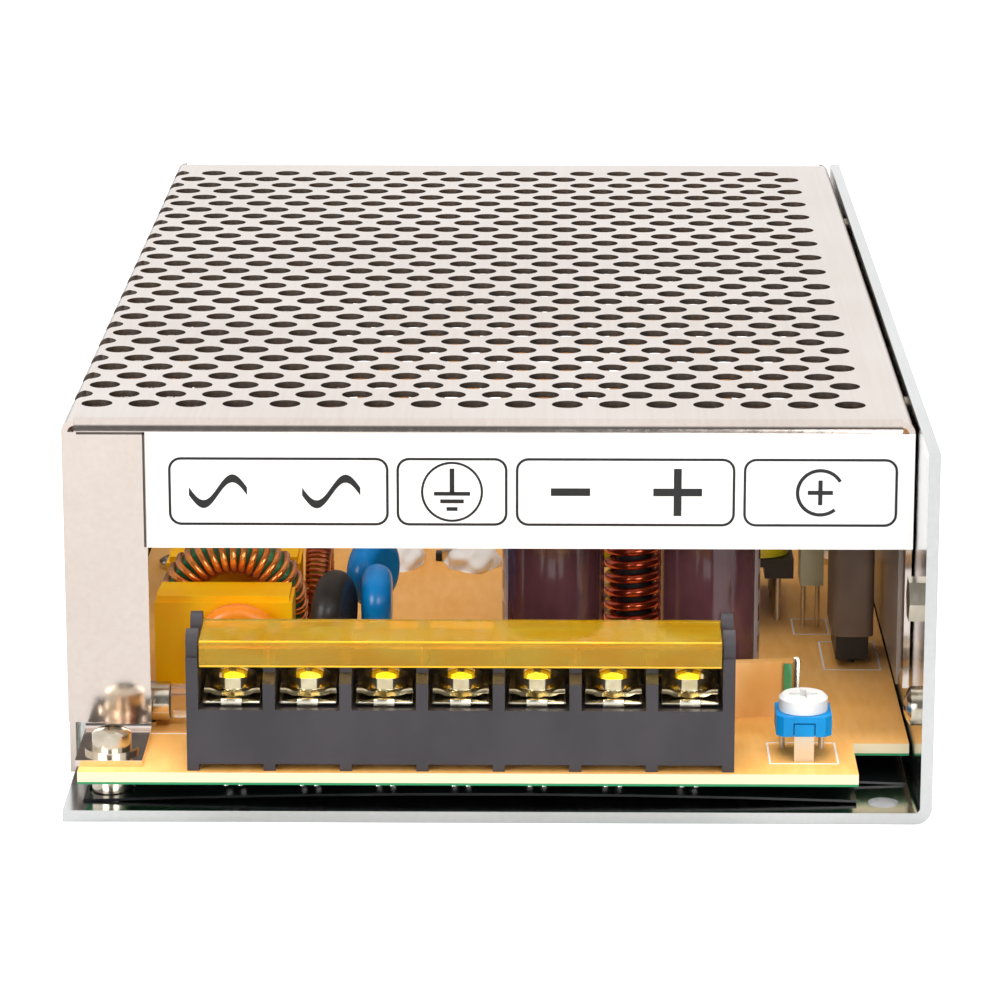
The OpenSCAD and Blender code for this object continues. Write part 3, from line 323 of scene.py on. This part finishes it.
# shrunk vinyl sleeves and stamped aluminium tops: a long clear highlight over bare metal
CAN = moulded("maroon_can_sleeve", "#4b2b30", "#5d3a40", rough=0.12, grain=300, bump=0.1, coat=0.6)
CAN_STRIPE = moulded("grey_sleeve_stripe", "#a59a9d", "#b9afb1", rough=0.2, grain=300, bump=0.1,
                     coat=0.5)
ALUMINIUM = plated("stamped_aluminium", "#c9cacb", "#e3e4e4", rough=0.26)
# sintered ferrite: dull, dark and slightly rough
FERRITE = moulded("dark_ferrite", "#2c2d2f", "#3a3b3d", rough=0.5, grain=1400, bump=0.5)
TAPE = tape("yellow_tape", "#d8c61c", "#ecdd33")
# silicone rubber, upright laminate and a small film capacitor's case
SLEEVE = moulded("grey_silicone_sleeve", "#6c5c52", "#7b6c61", rough=0.5, grain=1300, bump=0.3)
DAUGHTER = moulded("upright_board_laminate", "#e2a75c", "#f2c07e", rough=0.5, grain=900,
                   bump=0.15, specular=0.3)
PALE_GREEN = moulded("pale_green_case", "#b3bda0", "#c4ccb2", rough=0.3, grain=900, coat=0.2,
                     legs=BOARD_TOP + 0.0068)
# cured glue, solder mask and solder: wet-looking skins
GLUE = moulded("white_silicone_glue", "#f4f2ef", "#fbfaf7", rough=0.3, grain=350, bump=0.5)
MASK = moulded("green_solder_mask", "#3f8a52", "#5da06a", rough=0.3, grain=600, bump=0.15)
SOLDER = plated("bright_solder", "#d3d3cf", "#efefea", rough=0.18)

NODE_FINISH = {
    COVER: ["mesh_cover"], BASE: ["base_chassis"], VINYL: ["front_label"],
    FILM: ["insulating_film"], FIBRE_SHEET: ["side_film"], BOARD: ["circuit_board"],
    DAUGHTER: ["daughter_board"], TERMINAL: ["terminal_block"],
    ZINC: ["board_standoffs", "board_screws", "corner_screw", "spring_washer", "flat_washer",
           "cover_screws", "wall_nuts", "earth_screw", "fuse_caps", "clamp_bar", "clamp_screws"],
    AMBER: ["terminal_lid"], TIN: ["contact_plates"],
    NICKEL: [kind % i for kind in ("clamp_washer_%d", "terminal_screw_%d")
             for i in range(1, WAYS + 1)],
    BLUE_CASE: ["trimmer_body"], NYLON: ["trimmer_rotor"], PHENOLIC: ["transformer_bobbin"],
    GLASS: ["fuse_tube"], YELLOW: ["x_capacitors"], FERRITE_COAT: ["choke_core"],
    COPPER: ["choke_winding", "line_inductor"], RED_WIRE: ["filter_coil"], ORANGE: ["varistor"],
    GREY_DISC: ["thermistor"], BLUE_DIP: ["y_capacitors"], BLACK: ["output_rectifier"],
    BLACK_LEGGED: ["power_transistors"], BLACK_CLIP: ["bridge_rectifier"],
    CAN: ["bulk_capacitor_1", "bulk_capacitor_2", "output_capacitor_1", "output_capacitor_2"],
    FERRITE: ["transformer_core", "filter_rod"], TAPE: ["transformer_coil"],
    SLEEVE: ["rectifier_sleeve", "insulating_pad"], PALE_GREEN: ["suppressor_capacitor"],
}
for finish, names in NODE_FINISH.items():
    for name in names:
        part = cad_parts[name]
        part.data.materials.clear()
        part.data.materials.append(finish)


# ---- small modelling helpers: lengths are in mm ----
def clear_selection():
    if bpy.context.object and bpy.context.object.mode != "OBJECT":
        bpy.ops.object.mode_set(mode="OBJECT")
    bpy.ops.object.select_all(action="DESELECT")


def settle(name, finish, body="root", angle=35):
    """Names the active piece, puts its place into its mesh, and gives it its finish and body."""
    piece = bpy.context.object
    piece.name = piece.data.name = name
    bpy.ops.object.transform_apply(location=True, rotation=True, scale=True)
    if angle:
        bpy.ops.object.shade_smooth_by_angle(angle=radians(angle))
    piece.data.materials.clear()
    piece.data.materials.append(finish)
    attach(piece, body)
    return piece


def modifier(kind, **settings):
    piece = bpy.context.object
    new = piece.modifiers.new(kind.lower(), kind)
    for name, value in settings.items():
        setattr(new, name, value)
    bpy.ops.object.modifier_apply(modifier=new.name)


def join(pieces):
    clear_selection()
    for piece in pieces:
        piece.select_set(True)
    bpy.context.view_layer.objects.active = pieces[0]
    if len(pieces) > 1:
        bpy.ops.object.join()


def bevelled_box(centre, size, bevel=0.1):
    """A box with softened edges."""
    clear_selection()
    bpy.ops.mesh.primitive_cube_add(size=1, location=[c * MM for c in centre])
    bpy.context.object.scale = [s * MM for s in size]
    bpy.ops.object.transform_apply(location=False, rotation=False, scale=True)
    if bevel:
        modifier("BEVEL", width=bevel * MM, segments=2, limit_method="ANGLE")
    return bpy.context.object


def edit(mode="FACE"):
    bpy.ops.object.mode_set(mode="EDIT")
    bpy.ops.mesh.select_mode(type=mode)
    bpy.ops.mesh.select_all(action="SELECT")


def spin_section(centre, axis, steps, arc=360, gap=0.005):
    """Turns the active flat section round an axis, and merges the corners that meet."""
    edit()
    bpy.ops.mesh.spin(steps=steps, angle=radians(arc), center=[c * MM for c in centre], axis=axis)
    bpy.ops.mesh.select_all(action="SELECT")
    bpy.ops.mesh.remove_doubles(threshold=gap * MM)
    bpy.ops.mesh.normals_make_consistent(inside=False)
    bpy.ops.object.mode_set(mode="OBJECT")


def wire(points, radius, sides=2):
    """Round wire through points, with closed ends."""
    clear_selection()
    bpy.ops.curve.primitive_nurbs_path_add()
    run = bpy.context.object.data
    run.splines.clear()
    line = run.splines.new("POLY")
    line.points.add(len(points) - 1)
    for knot, place in zip(line.points, points):
        knot.co = [c * MM for c in place] + [1]
    run.dimensions = "3D"
    run.bevel_depth = radius * MM
    run.bevel_resolution = sides
    run.use_fill_caps = True
    bpy.ops.object.convert(target="MESH")


def ring_winding(centre, axis, mid, half, turns, start, span, foot, steps=20):
    """Points of a winding round a ring core: mid is the core's mean radius, half its wound half
    section, and foot the height that both ends go down to. Angles are in degrees."""
    points = []
    for k in range(turns * steps + 1):
        along, round_it = radians(start + span * k / (turns * steps)), 2 * pi * k / steps
        out, across = [side * abs(f) ** TURN_SQUARENESS * (1 if f > 0 else -1)
                       for side, f in ((half[0], cos(round_it)), (half[1], sin(round_it)))]
        flat = ((mid + out) * cos(along), across, (mid + out) * sin(along))
        if axis == "X":
            flat = (flat[1], flat[0], flat[2])
        points.append([c + f for c, f in zip(centre, flat)])
    for end in (0, -1):
        low = (points[end][0], points[end][1], foot)
        points.insert(0, low) if end == 0 else points.append(low)
    return points


def ring_core(centre, axis, mid, thick, width):
    """A moulded ring with rounded corners, whose axis lies along X or Y."""
    clear_selection()
    along_x = axis == "X"
    shift = (0, mid) if along_x else (mid, 0)
    place = (centre[0] + shift[0], centre[1] + shift[1], centre[2])
    bpy.ops.mesh.primitive_plane_add(size=1, location=[c * MM for c in place])
    size = (width, thick) if along_x else (thick, width)
    bpy.context.object.scale = (size[0] * MM, size[1] * MM, 1)
    bpy.ops.object.transform_apply(location=True, rotation=True, scale=True)
    modifier("BEVEL", width=0.4 * MM, segments=2, affect="VERTICES")
    spin_section(centre, (1, 0, 0) if along_x else (0, 1, 0), steps=64)


def mm_box(node):
    low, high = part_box(node)
    return low / MM, high / MM


# ---- label: outlined boxes with plain electrical signs ----
INK = 0.04  # how far print stands proud
BOX_LOW, BOX_HIGH, BOX_RADIUS, BOX_LINE = 34.3, 43.2, 1.6, 0.33
BOX_ENDS = ((-41.5, -13.5), (-12.5, 1.6), (2.65, 30.5), (31.55, 51.1))
SIGN_Z = 38.75
WAVE_L, WAVE_RISE, WAVE_LINE = 7.4, 1.7, 1.05
WAVE_XS, EARTH_X, MINUS_X, PLUS_X, ADJUST_X = (-35.2, -20.8), -5.45, 9.6, 23.2, 41.3
label_low, label_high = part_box("front_label")
LABEL_Y = label_low.y / MM


def outline(x0, x1):
    """A thin rounded frame that stands on the label's front."""
    clear_selection()
    place = ((x0 + x1) / 2 * MM, LABEL_Y * MM, (BOX_LOW + BOX_HIGH) / 2 * MM)
    bpy.ops.mesh.primitive_plane_add(size=1, location=place, rotation=(pi / 2, 0, 0))
    piece = bpy.context.object
    piece.scale = ((x1 - x0) * MM, (BOX_HIGH - BOX_LOW) * MM, 1)
    bpy.ops.object.transform_apply(location=False, rotation=False, scale=True)
    edit("VERT")
    bpy.ops.mesh.bevel(offset=BOX_RADIUS * MM, segments=6, affect="VERTICES")
    bpy.ops.mesh.select_mode(type="FACE")
    bpy.ops.mesh.select_all(action="SELECT")
    bpy.ops.mesh.inset(thickness=BOX_LINE * MM)
    bpy.ops.mesh.delete(type="FACE")
    bpy.ops.object.mode_set(mode="OBJECT")
    modifier("SOLIDIFY", thickness=INK * MM, offset=1)
    return piece


def ring(x, radius, line, arc=360, start=0, steps=48):
    """A thin ring or part of one that stands on the label's front."""
    clear_selection()
    bpy.ops.mesh.primitive_plane_add(size=1, location=(0, 0, 0), rotation=(pi / 2, 0, 0))
    piece = bpy.context.object
    piece.scale = (line * MM, INK * MM, 1)
    turn = radians(start)
    piece.location = ((x + radius * cos(turn)) * MM, (LABEL_Y - INK / 2) * MM,
                      (SIGN_Z + radius * sin(turn)) * MM)
    piece.rotation_euler = (0, -turn, 0)
    bpy.ops.object.transform_apply(location=True, rotation=True, scale=True)
    spin_section((x, LABEL_Y, SIGN_Z), (0, -1, 0), steps, arc, gap=0.002)
    return piece


def stroke(x, z, w, h):
    return bevelled_box((x, LABEL_Y - INK / 2, z), (w, INK, h), 0)


def wave(x):
    """One period of a sine wave, the common sign for alternating current."""
    clear_selection()
    bpy.ops.mesh.primitive_grid_add(x_subdivisions=24, y_subdivisions=1, size=1,
                                    rotation=(pi / 2, 0, 0))
    piece = bpy.context.object
    bpy.ops.object.transform_apply(location=True, rotation=True, scale=True)
    for v in piece.data.vertices:
        u, side = v.co.x, v.co.z
        v.co = ((x + u * WAVE_L) * MM, LABEL_Y * MM,
                (SIGN_Z + WAVE_RISE * sin(2 * pi * u) + side * WAVE_LINE) * MM)
    modifier("SOLIDIFY", thickness=INK * MM, offset=1)
    return piece


marks = [outline(*ends) for ends in BOX_ENDS] + [wave(x) for x in WAVE_XS]
marks += [ring(EARTH_X, 3.8, 0.3), stroke(EARTH_X, 40.2, 0.6, 3.2)]
marks += [stroke(EARTH_X, z, w, 0.5) for z, w in ((38.5, 4.6), (37.5, 3.0), (36.5, 1.4))]
marks += [stroke(MINUS_X, SIGN_Z, 5.0, 1.0), stroke(PLUS_X, SIGN_Z, 6.2, 1.0)]
marks += [stroke(PLUS_X, z, 1.0, 2.6) for z in (40.55, 36.95)]
marks += [ring(ADJUST_X, 2.9, 0.45, 280, -50, 32), stroke(ADJUST_X, SIGN_Z, 3.2, 0.55)]
marks += [stroke(ADJUST_X, z, 0.55, 1.35) for z in (39.7, 37.8)]
join(marks)
settle("label_signs", PRINT, angle=0)

# ---- painted shadow lines along the seams between the folded post and the front flap ----
SEAM, SEAM_START = 0.3, 1.9
flap_y, flap_z = label_high.y / MM, label_high.z / MM
post_x = label_low.x / MM - SEAM
seam_x0, seam_x1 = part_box("mesh_cover")[0].x / MM + SEAM_START, post_x + SEAM / 2
join([bevelled_box((post_x, flap_y - INK / 2, (label_low.z + label_high.z) / 2 / MM),
                   (SEAM, INK, (label_high.z - label_low.z) / MM), 0),
      bevelled_box(((seam_x0 + seam_x1) / 2, flap_y - INK / 2, flap_z - SEAM / 2),
                   (seam_x1 - seam_x0, INK, SEAM), 0)])
settle("fold_seam_shadows", SHADOW, angle=0)

# ---- output filter coil: round wire wound on the rod, in metres ----
COIL_WIRE_R, COIL_INSET, COIL_PITCH, COIL_TURNS = 0.00064, 0.00065, 0.0019, 10
coil_low, coil_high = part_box("filter_coil")
rod_low, rod_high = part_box("filter_rod")
coil_radius = (coil_high.x - coil_low.x) / 2 - COIL_INSET
clear_selection()
bpy.ops.mesh.primitive_circle_add(vertices=14, radius=COIL_WIRE_R, rotation=(pi / 2, 0, 0),
                                  location=(coil_radius, 0, 0))
bpy.ops.object.transform_apply(location=True, rotation=True, scale=True)
modifier("SCREW", angle=2 * pi, screw_offset=COIL_PITCH, iterations=COIL_TURNS, steps=40,
         render_steps=40, use_merge_vertices=False, use_smooth_shade=True)
edit("VERT")
bpy.ops.mesh.select_all(action="DESELECT")
bpy.ops.mesh.select_non_manifold()
bpy.ops.mesh.edge_face_add()
bpy.ops.mesh.select_all(action="SELECT")
bpy.ops.mesh.normals_make_consistent(inside=False)
bpy.ops.object.mode_set(mode="OBJECT")
bpy.context.object.location = ((rod_low.x + rod_high.x) / 2, (rod_low.y + rod_high.y) / 2,
                               coil_low.z + COIL_INSET)
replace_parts(settle("filter_coil_wire", RED_WIRE, angle=50), "filter_coil")

# ---- board: outline print, glue and solder ----
PRINT_LINE = 0.25
PRINTED = (("trimmer_body", 0.8), ("output_rectifier", 1.6), ("suppressor_capacitor", 0.8),
           ("output_capacitor_1", 1), ("output_capacitor_2", 1), ("fuse_caps", 1.4),
           ("filter_rod", 2.6), ("transformer_core", 0.8, 30), ("line_inductor", 0.8))
board_low, board_high = mm_box("circuit_board")
TOP = board_high.z


def around(node, gap, long=None):
    """A printed frame round a part's foot."""
    low, high = mm_box(node)
    x, y = (low.x + high.x) / 2, (low.y + high.y) / 2
    w, l = high.x - low.x + 2 * gap, long or high.y - low.y + 2 * gap
    lines = ((x, y - l / 2, w, PRINT_LINE), (x, y + l / 2, w, PRINT_LINE),
             (x - w / 2, y, PRINT_LINE, l), (x + w / 2, y, PRINT_LINE, l))
    return [bevelled_box((cx, cy, TOP + INK / 2), (cw, cl, INK), 0) for cx, cy, cw, cl in lines]


join([line for foot in PRINTED for line in around(*foot)])
settle("board_print", VINYL, angle=0)


def blob(x, y, radius, height, seed, stretch):
    """A run of glue: a flattened ball with an uneven skin."""
    clear_selection()
    bpy.ops.mesh.primitive_ico_sphere_add(subdivisions=4, radius=1)
    piece = bpy.context.object
    for v in piece.data.vertices:
        bump = 1 + 0.28 * noise.noise(Vector(v.co) * 1.7 + Vector((seed, 0, 0)))
        flat = max(v.co.z, -0.15)
        v.co = ((x + v.co.x * radius * stretch[0] * bump) * MM,
                (y + v.co.y * radius * stretch[1] * bump) * MM,
                (TOP + 0.15 * height + flat * height * bump) * MM)
    return piece


join([blob(-14.5, 2, 3.2, 2.4, 3.1, (1, 1.9)), blob(-4.4, 1.5, 3.6, 2.6, 7.7, (1.1, 1.7))])
settle("glue_runs", GLUE, angle=60)


def solder_point(x, y):
    """A soldered pin end: a small cone of solder with the cut wire in its middle."""
    clear_selection()
    bpy.ops.mesh.primitive_circle_add(vertices=16, radius=0.0011, fill_type="NGON",
                                      rotation=(pi, 0, 0),
                                      location=(x * MM, y * MM, board_low.z * MM))
    edit()
    for drop, narrow in ((0.35, 0.62), (0.4, 0.72), (0.45, 0.95)):
        bpy.ops.mesh.extrude_region_move(TRANSFORM_OT_translate={"value": (0, 0, -drop * MM)})
        bpy.ops.transform.resize(value=(narrow, narrow, 1), center_override=(x * MM, y * MM, 0))
    bpy.ops.object.mode_set(mode="OBJECT")
    return bpy.context.object


PIN_HALF_GAP, PIN_ROWS = 0.9, (3, 8)
way_boxes = [mm_box("clamp_washer_%d" % i) for i in range(1, WAYS + 1)]
way_x = [(low.x + high.x) / 2 for low, high in way_boxes]
block_y = mm_box("terminal_block")[0].y
join([solder_point(x + side, block_y + back)
      for x in way_x for side in (-PIN_HALF_GAP, PIN_HALF_GAP) for back in PIN_ROWS])
settle("terminal_solder", SOLDER)

# ---- windings ----
core_low, core_high = mm_box("choke_core")
core_at = (core_low + core_high) / 2
choke_mid = (core_high.x - core_low.x) / 2 - 1.8
ring_core(core_at, "Y", choke_mid, 3.5, core_high.y - core_low.y - 0.1)
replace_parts(settle("choke_core_ring", FERRITE_COAT, angle=50), "choke_core")
wire(ring_winding(core_at, "Y", choke_mid, half=(2.15, 3.8), turns=34, start=-75, span=330,
                  foot=TOP), 0.47, 3)
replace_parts(settle("choke_winding_wire", COPPER, angle=60), "choke_winding")

LINE_MID = 6.1
coil_low, coil_high = mm_box("line_inductor")
coil_at = (coil_low + coil_high) / 2
coil_at.z = coil_high.z - (coil_high.y - coil_low.y) / 2
ring_core(coil_at, "X", LINE_MID, 2.6, 2.3)
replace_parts(settle("line_inductor_ring", CORE_PAINT, angle=50),
            "line_inductor")
wire(ring_winding(coil_at, "X", LINE_MID, half=(1.6, 1.5), turns=54, start=-66, span=312,
                  foot=TOP, steps=14), 0.24, 1)
settle("line_inductor_wire", FINE_COPPER, angle=60)

# ---- terminals: saddle clamps, lock rings and contact strips ----
SHANK_R, PIN_L = 1.75, 1.3
CLAMP_T, CLAMP_FIT = 0.6, 0.995
LOCK_W, LOCK_T = 0.9, 0.36
STRIP_T = 0.36
clamp_low, clamp_high = way_boxes[0]
CLAMP_W, CLAMP_L = clamp_high.x - clamp_low.x, clamp_high.y - clamp_low.y
clamp_y = (clamp_low.y + clamp_high.y) / 2


def saddle(x):
    """A pressed clamp: low in its middle, with a ridge on each side and raised ends."""
    clear_selection()
    bpy.ops.mesh.primitive_grid_add(x_subdivisions=36, y_subdivisions=12, size=1)
    piece = bpy.context.object
    for v in piece.data.vertices:
        u, w = v.co.x * 2, v.co.y * 2
        rise = (0.62 * abs(u) ** 1.6 + 0.16 * sin(2 * pi * min(abs(u), 1)) ** 2
                + 0.05 * sin(9 * pi * w))
        v.co = ((x + u * CLAMP_W / 2 * CLAMP_FIT) * MM,
                (clamp_y + w * CLAMP_L / 2 * CLAMP_FIT) * MM, (clamp_low.z + 0.7 + rise) * MM)
    modifier("SOLIDIFY", thickness=CLAMP_T * MM, offset=-1)
    bpy.ops.mesh.primitive_cylinder_add(vertices=32, radius=SHANK_R * MM, depth=0.01,
                                        location=(x * MM, clamp_y * MM, clamp_low.z * MM))
    cutter = bpy.context.object
    join([piece])
    modifier("BOOLEAN", operation="DIFFERENCE", solver="EXACT", object=cutter)
    bpy.data.objects.remove(cutter)
    return piece


def lock_ring(x):
    """The ring under the screw's head, a square wire turned into a ring."""
    clear_selection()
    bpy.ops.mesh.primitive_plane_add(size=1, rotation=(pi / 2, 0, 0))
    bpy.context.object.scale = (LOCK_W * MM, LOCK_T * MM, 1)
    bpy.context.object.location = ((x + 2.3) * MM, clamp_y * MM, (clamp_low.z + 0.9) * MM)
    bpy.ops.object.transform_apply(location=True, rotation=True, scale=True)
    spin_section((x, clamp_y, 0), (0, 0, 1), steps=40)
    modifier("BEVEL", width=0.08 * MM, segments=2, limit_method="ANGLE")
    return bpy.context.object


for i, x in enumerate(way_x, 1):
    join([saddle(x), lock_ring(x)])
    clamp = settle("saddle_clamp_%d" % i, NICKEL, "clamp_%d" % i, 40)
    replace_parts(clamp, "clamp_washer_%d" % i)

strip_low, strip_high = mm_box("contact_plates")
strip_y, strip_l = (strip_low.y + strip_high.y) / 2 + 0.2, strip_high.y - strip_low.y - 0.4
strip_z = clamp_low.z - 0.2
strips = []
for x in way_x:
    strips.append(bevelled_box((x, strip_y, strip_z), (CLAMP_W + 0.2, strip_l, STRIP_T), 0.06))
    strips.append(bevelled_box((x, strip_low.y + 0.3, strip_z), (2.7, 0.56, 1.3), 0.2))
join(strips)
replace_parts(settle("contact_strips", TIN), "contact_plates")

lid_low, lid_high = mm_box("terminal_lid")
join([bevelled_box(((way_x[i] + way_x[i + 1]) / 2, lid_low.y + 1.3, lid_high.z - 2.1),
                   (0.3, 0.5, 2.2), 0.05) for i in (0, 2, 4)])
settle("lid_ribs", AMBER, "lid")
lid_w = lid_high.x - lid_low.x - 2 * PIN_L - 0.1
# painted highlights: bright amber strips along the top and bottom edges of the lid's front
join([bevelled_box(((way_x[0] + way_x[-1]) / 2, lid_low.y + 0.1, z), (lid_w, 0.24, 0.24), 0.08)
      for z in (lid_low.z + 0.12, lid_high.z - 0.1)])
settle("lid_edge_highlights", AMBER_EDGE_HIGHLIGHT, "lid")


# ---- can sleeves: polarity stripes with plain dashes, and bare tops with vent lines ----
def sleeve_patch(x, y, radius, middle, width, z0, z1):
    """A thin patch of print that follows the can's side. Middle and width are in degrees."""
    clear_selection()
    bpy.ops.mesh.primitive_grid_add(x_subdivisions=max(2, int(width / 4)), y_subdivisions=1,
                                    size=1)
    piece = bpy.context.object
    for v in piece.data.vertices:
        turn = radians(middle + v.co.x * width)
        v.co = ((x + radius * cos(turn)) * MM, (y + radius * sin(turn)) * MM,
                ((z0 + z1) / 2 + v.co.y * (z1 - z0)) * MM)
    modifier("SOLIDIFY", thickness=INK * MM, offset=1)
    return piece


def can_top(x, y, z, radius):
    """A stamped disc with a stepped rim."""
    clear_selection()
    bpy.ops.mesh.primitive_circle_add(vertices=48, radius=radius * MM, fill_type="NGON",
                                      location=(x * MM, y * MM, z * MM))
    edit()
    for rim, step in ((0.5, 0.12), (0.2, -0.08)):
        bpy.ops.mesh.inset(thickness=rim * MM)
        bpy.ops.transform.translate(value=(0, 0, step * MM))
    bpy.ops.object.mode_set(mode="OBJECT")
    return bpy.context.object


def vent_line(x, y, z, length, turn):
    line = bevelled_box((0, 0, 0), (length, 0.3, 0.08), 0.03)
    line.rotation_euler = (0, 0, radians(turn))
    line.location = (x * MM, y * MM, z * MM)
    bpy.ops.object.transform_apply(location=True, rotation=True, scale=True)
    return line


# each can, and the side in degrees that its stripe is on
CANS = (("output_capacitor_1", 190), ("output_capacitor_2", -12), ("bulk_capacitor_1", 200),
        ("bulk_capacitor_2", 200))
STRIPE_WIDTH, DASH_WIDTH, DASH_H, DASHES = 34, 12, 2.2, 4
stripes, dashes, tops = [], [], []
for node, side in CANS:
    low, high = mm_box(node)
    x, y = (low.x + high.x) / 2, (low.y + high.y) / 2
    radius = (high.x - low.x) / 2 + 0.01
    stripes.append(sleeve_patch(x, y, radius, side, STRIPE_WIDTH, low.z + 4.2, high.z - 1))
    for k in range(DASHES):
        z = low.z + 6.5 + k * (high.z - low.z - 8) / DASHES
        dashes.append(sleeve_patch(x, y, radius + INK, side, DASH_WIDTH, z, z + DASH_H))
    top = high.z - 0.5
    tops.append(can_top(x, y, top, radius - 1.85))
    tops += [vent_line(x, y, top + 0.07, 2 * radius - 6.5, turn) for turn in (0, 60, 120)]
join(stripes)
settle("can_stripes", CAN_STRIPE)
join(dashes)
settle("stripe_dashes", CAN)
join(tops)
settle("can_tops", ALUMINIUM)

# ---- small parts on the board ----
CHIP_X, CHIP_Y = -8, 2.6
low, high = mm_box("daughter_board")
bevelled_box((high.x - 1.1, low.y + 0.55, (low.z + high.z) / 2), (1.1, 0.3, high.z - low.z - 0.3),
             0.05)
settle("daughter_mask", MASK)
pin_x, pin_y = high.x + 0.1, low.y + 0.9
wire([(pin_x, pin_y, TOP), (pin_x, pin_y, high.z), (high.x, low.y + 1.2, high.z + 0.5)], 0.45)
settle("daughter_pin", TIN)
bevelled_box((CHIP_X, CHIP_Y, TOP + 0.9), (1.6, 2.2, 1.7), 0.15)
settle("surface_part", PALE_GREEN)
join([bevelled_box((CHIP_X + s * 1.3, CHIP_Y, TOP + 0.6), (0.9, 2.0, 1.2), 0.15) for s in (-1, 1)])
settle("surface_part_ends", BLACK)

# ---- stage: a pale floor that looks white, and a white room ----
FLOOR_SEEN, FLOOR_MIRRORED = 0.8, 0.03
ROOM_LIGHT, ROOM_SEEN = 0.55, 1.0
# bright metal mirrors the white room, and a dim side of it in front of the object
DIM_SIDE, DIM_START, DIM_FULL, ROOM_BRIGHT, ROOM_DIM = (0, -0.96, 0.28), 0.7, 0.93, 0.97, 0.12
LAMP_TARGET = (0, 0, 0.02)

clear_selection()
bpy.ops.mesh.primitive_plane_add(size=8, location=(0, 1.5, 0))
floor = bpy.context.object
floor.name = "studio_floor"
floor_material, tree, shader = new_material("white_studio_floor")
seen = add(tree, "LightPath").outputs
direct = add(tree, "Math", {"operation": "MAXIMUM"}, _0=seen["Is Camera Ray"],
             _1=seen["Is Glossy Ray"])
any_view = add(tree, "Math", {"operation": "MAXIMUM"}, _0=direct.outputs[0],
               _1=seen["Is Transmission Ray"])
camera_glow = add(tree, "MapRange", Value=seen["Is Camera Ray"], To_Min=FLOOR_MIRRORED,
                  To_Max=FLOOR_SEEN)
glow = add(tree, "Math", {"operation": "MULTIPLY"}, _0=any_view.outputs[0],
           _1=camera_glow.outputs[0])
set_inputs(tree, shader, Base_Color=linear("#b0b0b0"), Roughness=0.9,
           Emission_Color=linear("#ffffff"), Emission_Strength=glow.outputs[0])
floor.data.materials.append(floor_material)

world = bpy.data.worlds.new("soft_studio")
bpy.context.scene.world = world
world.use_nodes = True
tree = world.node_tree
seen = add(tree, "LightPath").outputs
direct = add(tree, "Math", {"operation": "MAXIMUM"}, _0=seen["Is Camera Ray"],
             _1=seen["Is Transmission Ray"])
level = add(tree, "MapRange", Value=direct.outputs[0], To_Min=ROOM_LIGHT, To_Max=ROOM_SEEN)
way = add(tree, "TexCoord").outputs["Generated"]
ahead = add(tree, "VectorMath", {"operation": "DOT_PRODUCT"}, _0=way, _1=DIM_SIDE)
dim = add(tree, "MapRange", {"interpolation_type": "SMOOTHSTEP"}, Value=ahead.outputs["Value"],
          From_Min=DIM_START, From_Max=DIM_FULL, To_Min=ROOM_BRIGHT, To_Max=ROOM_DIM)
glossy = add(tree, "Mix", {"data_type": "FLOAT"}, _0=seen["Is Glossy Ray"],
             _2=level.outputs[0], _3=dim.outputs[0])
background = tree.nodes["Background"]
fill(tree, background.inputs["Color"], linear("#ffffff"))
fill(tree, background.inputs["Strength"], glossy.outputs[0])


def softbox(name, place, size, watts, mirrored=True):
    """A soft lamp that looks at the object, and that metal mirrors or not."""
    data = bpy.data.lights.new(name, "AREA")
    data.shape = "RECTANGLE"
    data.size, data.size_y = size
    data.energy = watts
    lamp = bpy.data.objects.new(name, data)
    lamp.location = place
    lamp.visible_glossy = mirrored
    gaze = Vector(LAMP_TARGET) - Vector(place)
    lamp.rotation_euler = gaze.to_track_quat("-Z", "Y").to_euler()
    bpy.context.scene.collection.objects.link(lamp)


softbox("key_softbox", (-0.62, -0.9, 0.36), (0.55, 0.5), 4.6)
softbox("fill_softbox", (0.36, -1.05, 0.26), (0.5, 0.5), 3.6)
softbox("top_softbox", (0, 0.1, 1.1), (0.9, 0.6), 16, mirrored=False)
softbox("front_softbox", (0.1, -0.75, 0.9), (0.6, 0.5), 5, mirrored=False)
